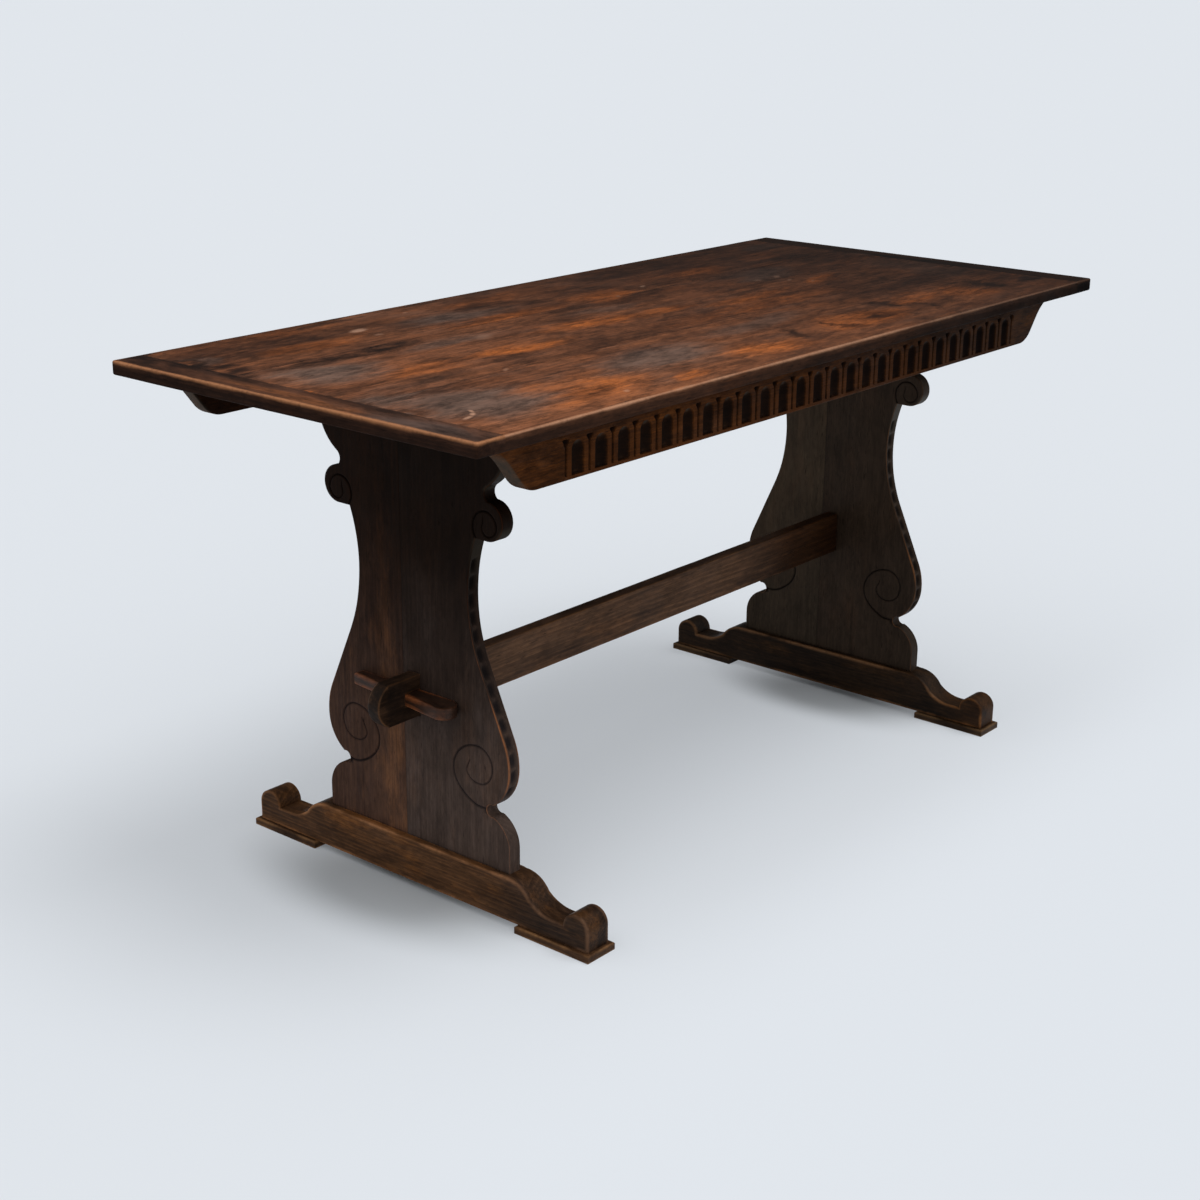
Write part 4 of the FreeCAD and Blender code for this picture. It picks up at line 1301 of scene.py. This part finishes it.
def foot_ease(u, v, nu, nv):
    if v < 12 * MM:
        return 0.6 * MM, 0.6 * MM
    return by_hand(1.3 * MM if abs(u) < 0.177 else 2.6 * MM, u, v, 0.4, 25, 8.0)


# Painted light and shade: the left foot darker towards its front, the right foot much darker all over, a
# little less so at its front.
FOOT_PAINTED_LIGHT_AND_SHADE = {
    "left": ((0, -0.1, 0), (0, -0.25, 0), (1.24, 1.24, 1.28), (0.5, 0.57, 0.78)),
    "right": ((0.5, -0.2, 0), (0.5, -0.33, 0), (0.23, 0.265, 0.32), (0.45, 0.42, 0.36)),
}
# Painted light falling off towards the right.
PAD_PAINTED_LIGHT = ((-0.3, 0, 0), (0.35, 0, 0), (1, 1, 1), (0.45, 0.5, 0.55))
PAD_HALF = 28 * MM
PAD_THICK = 11 * MM
PAD_INNER = 200 * MM
PAD_OUTER = 332 * MM
FOOT_WORN = {"left": (0.3, 0.135, 0.055), "right": (0.75, 0.32, 0.12)}


def make_feet():
    plank = Plank("yzx", foot_outline(), -22 * MM, 22 * MM, foot_ease, 9 * MM, rows=6)
    for hand, x in at_both_ends(plank):
        material = oak("foot_oak_" + hand, "y", (x + 0.03, 0.1, -0.02), 3 + x, (0.03, 0.0135, 0.006),
                       (0.105, 0.047, 0.018), amber=(0.22, 0.08, 0.018), ring=5 * MM, worn=0.75,
                       worn_reach=5.5 * MM, worn_tone=FOOT_WORN[hand], rough=0.44, polish=0.07, patches=0.8,
                       streaks=0.6, painted_light_and_shade=FOOT_PAINTED_LIGHT_AND_SHADE[hand])
        node = "foot_" + hand
        show(plank.mesh(node), node + "_wood", "root", material, "foot_wood", node)
        for end, word in ((-1, "front"), (1, "back")):
            near, far = sorted((end * PAD_INNER, end * PAD_OUTER))

            def ease(u, v, nu, nv):
                return by_hand(2.2 * MM, u, v, 0.4, 30, 4.0)[0], 0.5 * MM

            outline = rectangle(x - PAD_HALF, near, x + PAD_HALF, far)
            pad = Plank("xyz", outline, 0, PAD_THICK, ease, 9 * MM, rows=3)
            node = "foot_pad_" + hand + "_" + word
            finish = oak(node + "_oak", "y", (x, end * 0.2, -0.03), 5 + x + end, (0.022, 0.0105, 0.0055),
                         (0.07, 0.032, 0.014), amber=(0.16, 0.066, 0.02), ring=4 * MM, worn=0.85,
                         worn_reach=4.5 * MM, worn_tone=(0.27, 0.135, 0.055), rough=0.46, polish=0.07,
                         patches=0.5, painted_light_and_shade=PAD_PAINTED_LIGHT)
            show(pad.mesh(node), node + "_wood", "root", finish, "foot_wood", node)


make_feet()


# Stretcher and keys
# Painted light falling off towards the right.
STRETCHER_PAINTED_LIGHT = ((0.12, 0, 0.3), (0.42, 0, 0.3), (1, 1, 1), (0.32, 0.26, 0.2))
KEY_TIP = 104 * MM
KEY_SHOULDER = -75 * MM
KEY_HEAD = -93 * MM
KEY_THIN = 15 * MM
KEY_SLOPE = 21 / 179
SLOT_NEAR = TRESTLE_OUTER - 3 * MM
SLOT_FAR = TRESTLE_OUTER + KEY_THIN + KEY_SLOPE * KEY_TIP
SLOT_LOW = 285.9 * MM
SLOT_HIGH = 304.2 * MM


def make_stretcher():
    shoulder, bow, tip = TRESTLE_INNER, TRESTLE_OUTER + 58 * MM, TRESTLE_OUTER + 79 * MM
    middle = (TENON_LOW + TENON_HIGH) / 2
    outline = Outline((-shoulder, STRETCHER_LOW), 6 * MM)
    outline.line((shoulder, STRETCHER_LOW)).line((shoulder, TENON_LOW)).line((bow, TENON_LOW))
    outline.arc((tip, middle), (bow, TENON_HIGH), 2 * MM)
    outline.line((shoulder, TENON_HIGH)).line((shoulder, STRETCHER_HIGH)).line((-shoulder, STRETCHER_HIGH))
    outline.line((-shoulder, TENON_HIGH)).line((-bow, TENON_HIGH))
    outline.arc((-tip, middle), (-bow, TENON_LOW), 2 * MM)
    outline.line((-shoulder, TENON_LOW)).line((-shoulder, STRETCHER_LOW))
    slots = [rectangle(side * SLOT_NEAR, SLOT_LOW, side * SLOT_FAR, SLOT_HIGH, 3 * MM) for side in (-1, 1)]

    def ease(u, v, nu, nv):
        if abs(u) < shoulder - 0.5 * MM and (abs(v - STRETCHER_LOW) < 1e-6 or abs(v - STRETCHER_HIGH) < 1e-6):
            return by_hand(1.6 * MM, u, v, 0.3, 20, 2.0)
        on_tenon = abs(u) > shoulder + 0.5 * MM and (v < TENON_LOW + 1e-6 or v > TENON_HIGH - 1e-6)
        out_in_the_open = abs(u) > bow - 1e-6 or (on_tenon and abs(u) > TRESTLE_OUTER + 3 * MM)
        return (2.2 * MM, 2.2 * MM) if out_in_the_open else (0.5 * MM, 0.5 * MM)

    plank = Plank("xzy", outline.closed(), -11 * MM, 11 * MM, ease, 9 * MM, holes=slots, rows=3)
    at_far = np.abs(np.abs(plank.uvw[:, 0]) - SLOT_FAR) < 0.6 * MM
    at_far &= (plank.uvw[:, 1] > SLOT_LOW - 1 * MM) & (plank.uvw[:, 1] < SLOT_HIGH + 1 * MM)
    plank.uvw[at_far, 0] -= np.sign(plank.uvw[at_far, 0]) * KEY_SLOPE * plank.uvw[at_far, 2]
    # Painted shade on the tenons beyond the trestles, less on their round ends, and the dark marks over them
    # are painted shade too.
    beyond = np.abs(plank.uvw[:, 0]) > TRESTLE_OUTER
    plank.hollow[beyond] = np.maximum(plank.hollow[beyond], 0.6)
    plank.hollow[np.abs(plank.uvw[:, 0]) > bow + 2 * MM] = 0.15
    ends = [(side * 0.64, 0, 0.13, 0.3, 0, 0.9) for side in (-1, 1)]
    material = oak("stretcher_oak", "x", (0.1, 0.03, 0.2), 6.4, (0.034, 0.0158, 0.008),
                   (0.136, 0.068, 0.0345), amber=(0.2, 0.08, 0.026), ring=9 * MM, wander=70 * MM, worn=0.6,
                   worn_reach=3 * MM, worn_tone=(0.18, 0.08, 0.032), rough=0.46, polish=0.08, patches=0.35,
                   mottle=0.3, dark_marks=ends, painted_light_and_shade=STRETCHER_PAINTED_LIGHT)
    show(plank.mesh("stretcher"), "stretcher_wood", "root", material, "stretcher_wood", "stretcher")


def make_keys():
    back, floor, ceiling = TRESTLE_OUTER + 0.05 * MM, 286.05 * MM, 304 * MM

    def front(y):
        return TRESTLE_OUTER + KEY_THIN + KEY_SLOPE * (KEY_TIP - y)

    for side, hand in ((-1, "left"), (1, "right")):
        wide = front(KEY_SHOULDER)
        outline = Outline((side * back, KEY_TIP), 3 * MM)
        outline.line((side * front(KEY_TIP), KEY_TIP)).line((side * wide, KEY_SHOULDER))
        outline.arc((side * (back + wide) / 2, KEY_HEAD), (side * back, KEY_SHOULDER), 2 * MM)
        outline.line((side * back, KEY_TIP))

        def ease(u, v, nu, nv):
            if nu * side < -0.9:
                return 0.8 * MM, 0.8 * MM
            return by_hand(3.2 * MM, u, v, 0.3, 30, 6.0)

        plank = Plank("xyz", outline.closed(), floor, ceiling, ease, 6 * MM, rows=4)
        node = "key_" + hand
        material = oak(node + "_oak", "y", (side * 0.56, 0.2, 0.25), 4 + side, (0.012, 0.006, 0.004),
                       (0.042, 0.0185, 0.0105), amber=(0.14, 0.038, 0.011), ring=4 * MM, worn=0.8,
                       worn_reach=6 * MM, worn_tone=(0.26, 0.08, 0.026), rough=0.4, polish=0.16, patches=0.4)
        show(plank.mesh(node), node + "_wood", node, material, "key_wood", node)


make_stretcher()
make_keys()


# Bearers, glue blocks and screws
BLOCKS = 5
BEARER_WIDE = 30 * MM
BEARER_DEEP = 45 * MM


def block():
    """A three-cornered glue block, with its right angle up against the apron and the top."""
    corner_y, leg = APRON_FACE - APRON_THICK, 28 * MM
    outline = Outline((corner_y, TOP_UNDER)).line((corner_y - leg, TOP_UNDER))
    outline.line((corner_y, TOP_UNDER - leg)).line((corner_y, TOP_UNDER))
    return Plank("yzx", outline.closed(), -25 * MM, 25 * MM, even_ease(0.8 * MM), 8 * MM, rows=4)


def screw_mesh():
    """A slotted round-headed screw's head, standing on z = 0."""
    radius, height, slot_half, slot_depth = 4.6 * MM, 3.0 * MM, 0.55 * MM, 1.1 * MM
    rings, around = 6, 28
    places = [(0, 0, height - slot_depth)]
    faces = []
    for ring in range(1, rings + 1):
        turn = math.pi / 2 * ring / rings
        for i in range(around):
            angle = math.tau * i / around
            x, y = radius * math.sin(turn) * math.cos(angle), radius * math.sin(turn) * math.sin(angle)
            z = height * math.cos(turn)
            places.append((x, y, z - slot_depth if abs(y) < slot_half else z))
    for i in range(around):
        j = (i + 1) % around
        faces.append((0, 1 + i, 1 + j))
        for ring in range(rings - 1):
            a, b = 1 + ring * around, 1 + (ring + 1) * around
            faces.append((a + i, b + i, b + j, a + j))
    faces.append([1 + (rings - 1) * around + i for i in reversed(range(around))])
    return new_mesh("screw_head", places, faces)


def steel():
    material, nodes = new_material("dull_screw_steel")
    place = nodes.add("ShaderNodeTexCoord").outputs["Object"]
    blotch = nodes.remap(nodes.noise(place, 900.0, 3.0, 0.6), 0.4, 0.7)
    colour = nodes.mix(blotch, (0.1, 0.095, 0.09, 1), (0.055, 0.032, 0.02, 1))
    gloss = nodes.remap(nodes.noise(place, 500.0, 2.0, 0.5), 0.3, 0.7, 0.4, 0.65)
    shader = nodes.add("ShaderNodeBsdfPrincipled", {"Base Color": colour, "Roughness": gloss})
    nodes.paint(shader, Metallic=0.9)
    return material


def make_hidden_parts():
    inner = TRESTLE_INNER - BEARER_WIDE
    end = APRON_FACE - APRON_THICK
    bearer_low = TOP_UNDER - BEARER_DEEP
    raw = {"dark": RAW_DARK, "light": RAW_LIGHT, "amber": (0.2, 0.11, 0.05), "worn": 0.2, "rough": 0.62,
           "patches": 0.15, "streaks": 0.2, "grey": 0.3}
    blocks = block()
    for side, mirror in (("back", None), ("front", "y")):
        name = "apron_blocks_" + side
        material = oak(name + "_oak", "x", (0, 0.2, 0.5), 2.0, **raw)
        pitch = 2 * inner / BLOCKS
        start = (-(BLOCKS - 1) / 2 * pitch, 0, 0)
        mesh = in_a_row(name, blocks.mesh("block", mirror), BLOCKS, start, (pitch, 0, 0), material)
        show(mesh, name + "_wood", "root", material, "hidden_wood", name)
    metal = steel()
    for side, hand in ((-1, "left"), (1, "right")):
        near, far = sorted((side * inner, side * TRESTLE_INNER))
        outline = rectangle(near, -end, far, end, 6 * MM)
        plank = Plank("xyz", outline, bearer_low, TOP_UNDER, even_ease(1 * MM), 9 * MM, rows=4)
        name = "bearer_" + hand
        material = oak(name + "_oak", "y", (side * 0.5, 0.3, 0.6), 8.0 + side, **raw)
        show(plank.mesh(name), name + "_wood", "root", material, "hidden_wood", name)
        middle = side * (inner + BEARER_WIDE / 2)
        up = in_a_row("up", screw_mesh(), 4, (middle, -0.21, bearer_low), (0, 0.14, 0), metal,
                      turn=(math.pi, 0, 0.4))
        along = in_a_row("along", screw_mesh(), 3, (side * inner, -0.11, bearer_low + 22 * MM), (0, 0.11, 0),
                         metal, turn=(0, -side * math.pi / 2, 0))
        for mesh, word in ((up, "top"), (along, "trestle")):
            mesh.name = name + "_" + word + "_screws"
            show(mesh, mesh.name, "root", metal, "hidden_wood")


make_hidden_parts()


# Studio. The window is high up at the front, and the far end of the room is dark.
WINDOW = Vector((0.2, -0.33, 1.0))
DARK_END = (0.74, 0.59, 0.32)
FLOOR_LIFT = 0.35
FLOOR_PAINTED_LIGHT_IN_FRONT = 0.85
# Ovals of painted shadow on the floor beside the feet: place, reach along X and Y, turn and strength.
PAINTED_SHADOW_BY_FEET = ((-0.57, 0.03, 0.15, 0.32, 0, 1), (0.47, -0.02, 0.12, 0.26, 0, 1))
FLOOR_PAINT = (0.735, 0.772, 0.815, 1)
FLOOR_SHADE = (0.42, 0.445, 0.465, 1)
FLOOR_GLOW = (0.76, 0.8, 0.85, 1)
FLOOR_REACH = 60.0


def floor_paint():
    """Pale paint, which the camera sees a little lifted. In front it is lifted more, painted light that hides
    the shadow there, and beside the feet it isn't lifted and gets a painted shadow.
    """
    material, nodes = new_material("floor_paint")
    place = nodes.add("ShaderNodeTexCoord").outputs["Object"]
    # Painted shadow beside the feet: darker paint, and no lift there.
    beside = spots(nodes, place, PAINTED_SHADOW_BY_FEET)
    tone = nodes.mix(nodes.times(beside, 0.75), FLOOR_PAINT, FLOOR_SHADE)
    paint = nodes.add("ShaderNodeBsdfDiffuse", {"Color": tone}).outputs[0]
    lift = nodes.add("ShaderNodeEmission", {"Color": FLOOR_GLOW, "Strength": 1.0}).outputs[0]
    path = nodes.add("ShaderNodeLightPath").outputs
    seen = nodes.plus(path["Is Camera Ray"], path["Is Glossy Ray"], True)
    seen = nodes.plus(seen, path["Is Transmission Ray"], True)
    # More lift in front is painted light over the shadow there.
    across = nodes.add("ShaderNodeSeparateXYZ", {0: place}).outputs[1]
    share = nodes.remap(across, -0.62, -0.28, FLOOR_PAINTED_LIGHT_IN_FRONT, FLOOR_LIFT)
    share = nodes.times(share, nodes.minus(1.0, beside))
    nodes.paint(nodes.add("ShaderNodeMixShader", {0: nodes.times(seen, share), 1: paint, 2: lift}))
    return material


def make_studio():
    corners = [(x * FLOOR_REACH, y * FLOOR_REACH, 0) for x, y in ((-1, -1), (1, -1), (1, 1), (-1, 1))]
    floor = new_object("floor", new_mesh("floor", corners, [(0, 1, 2, 3)]))
    floor.data.materials.append(floor_paint())
    world = bpy.data.worlds.new("studio")
    world.use_nodes = True
    nodes = Nodes(world.node_tree)
    way = nodes.add("ShaderNodeTexCoord").outputs["Generated"]
    to_dark_end = nodes.vector("DOT_PRODUCT", way, DARK_END)
    height = nodes.add("ShaderNodeSeparateXYZ", {0: way}).outputs[2]
    level = nodes.times(nodes.remap(height, -0.05, 0.75, 0.34, 1.0),
                        nodes.remap(to_dark_end, 0.35, 0.95, 1.0, 0.12))
    background = world.node_tree.nodes["Background"]
    background.inputs[0].default_value = (1.0, 1.0, 1.0, 1)
    nodes.feed(background.inputs[1], level)
    bpy.context.scene.world = world
    sun = bpy.data.lights.new("window", "SUN")
    sun.energy = 1.0
    sun.angle = math.radians(30)
    lamp = new_object("window", sun)
    lamp.rotation_euler = WINDOW.to_track_quat("Z", "Y").to_euler()


# The camera of the photo, as fitted to the edges of the table.
CAMERA_PLACE = (-2.33647, -1.84011, 1.30777)
CAMERA_TURN = math.radians(-50.195)
CAMERA_RISE = math.radians(18.8)
CAMERA_ROLL = math.radians(0.514)


def make_camera():
    turn, rise, roll = CAMERA_TURN, CAMERA_RISE, CAMERA_ROLL
    back = Vector((math.sin(turn) * math.cos(rise), -math.cos(turn) * math.cos(rise), math.sin(rise)))
    right = Vector((0, 0, 1)).cross(back).normalized()
    up = back.cross(right)
    right_rolled = math.cos(roll) * right + math.sin(roll) * up
    up_rolled = -math.sin(roll) * right + math.cos(roll) * up
    data = bpy.data.cameras.new("camera")
    data.sensor_fit = "HORIZONTAL"
    data.sensor_width = 36
    data.lens = 59.75
    camera = new_object("camera", data)
    matrix = Matrix((right_rolled, up_rolled, back)).transposed().to_4x4()
    matrix.translation = CAMERA_PLACE
    camera.matrix_world = matrix
    bpy.context.scene.camera = camera


make_studio()
make_camera()
bpy.context.scene.view_settings.view_transform = "Standard"

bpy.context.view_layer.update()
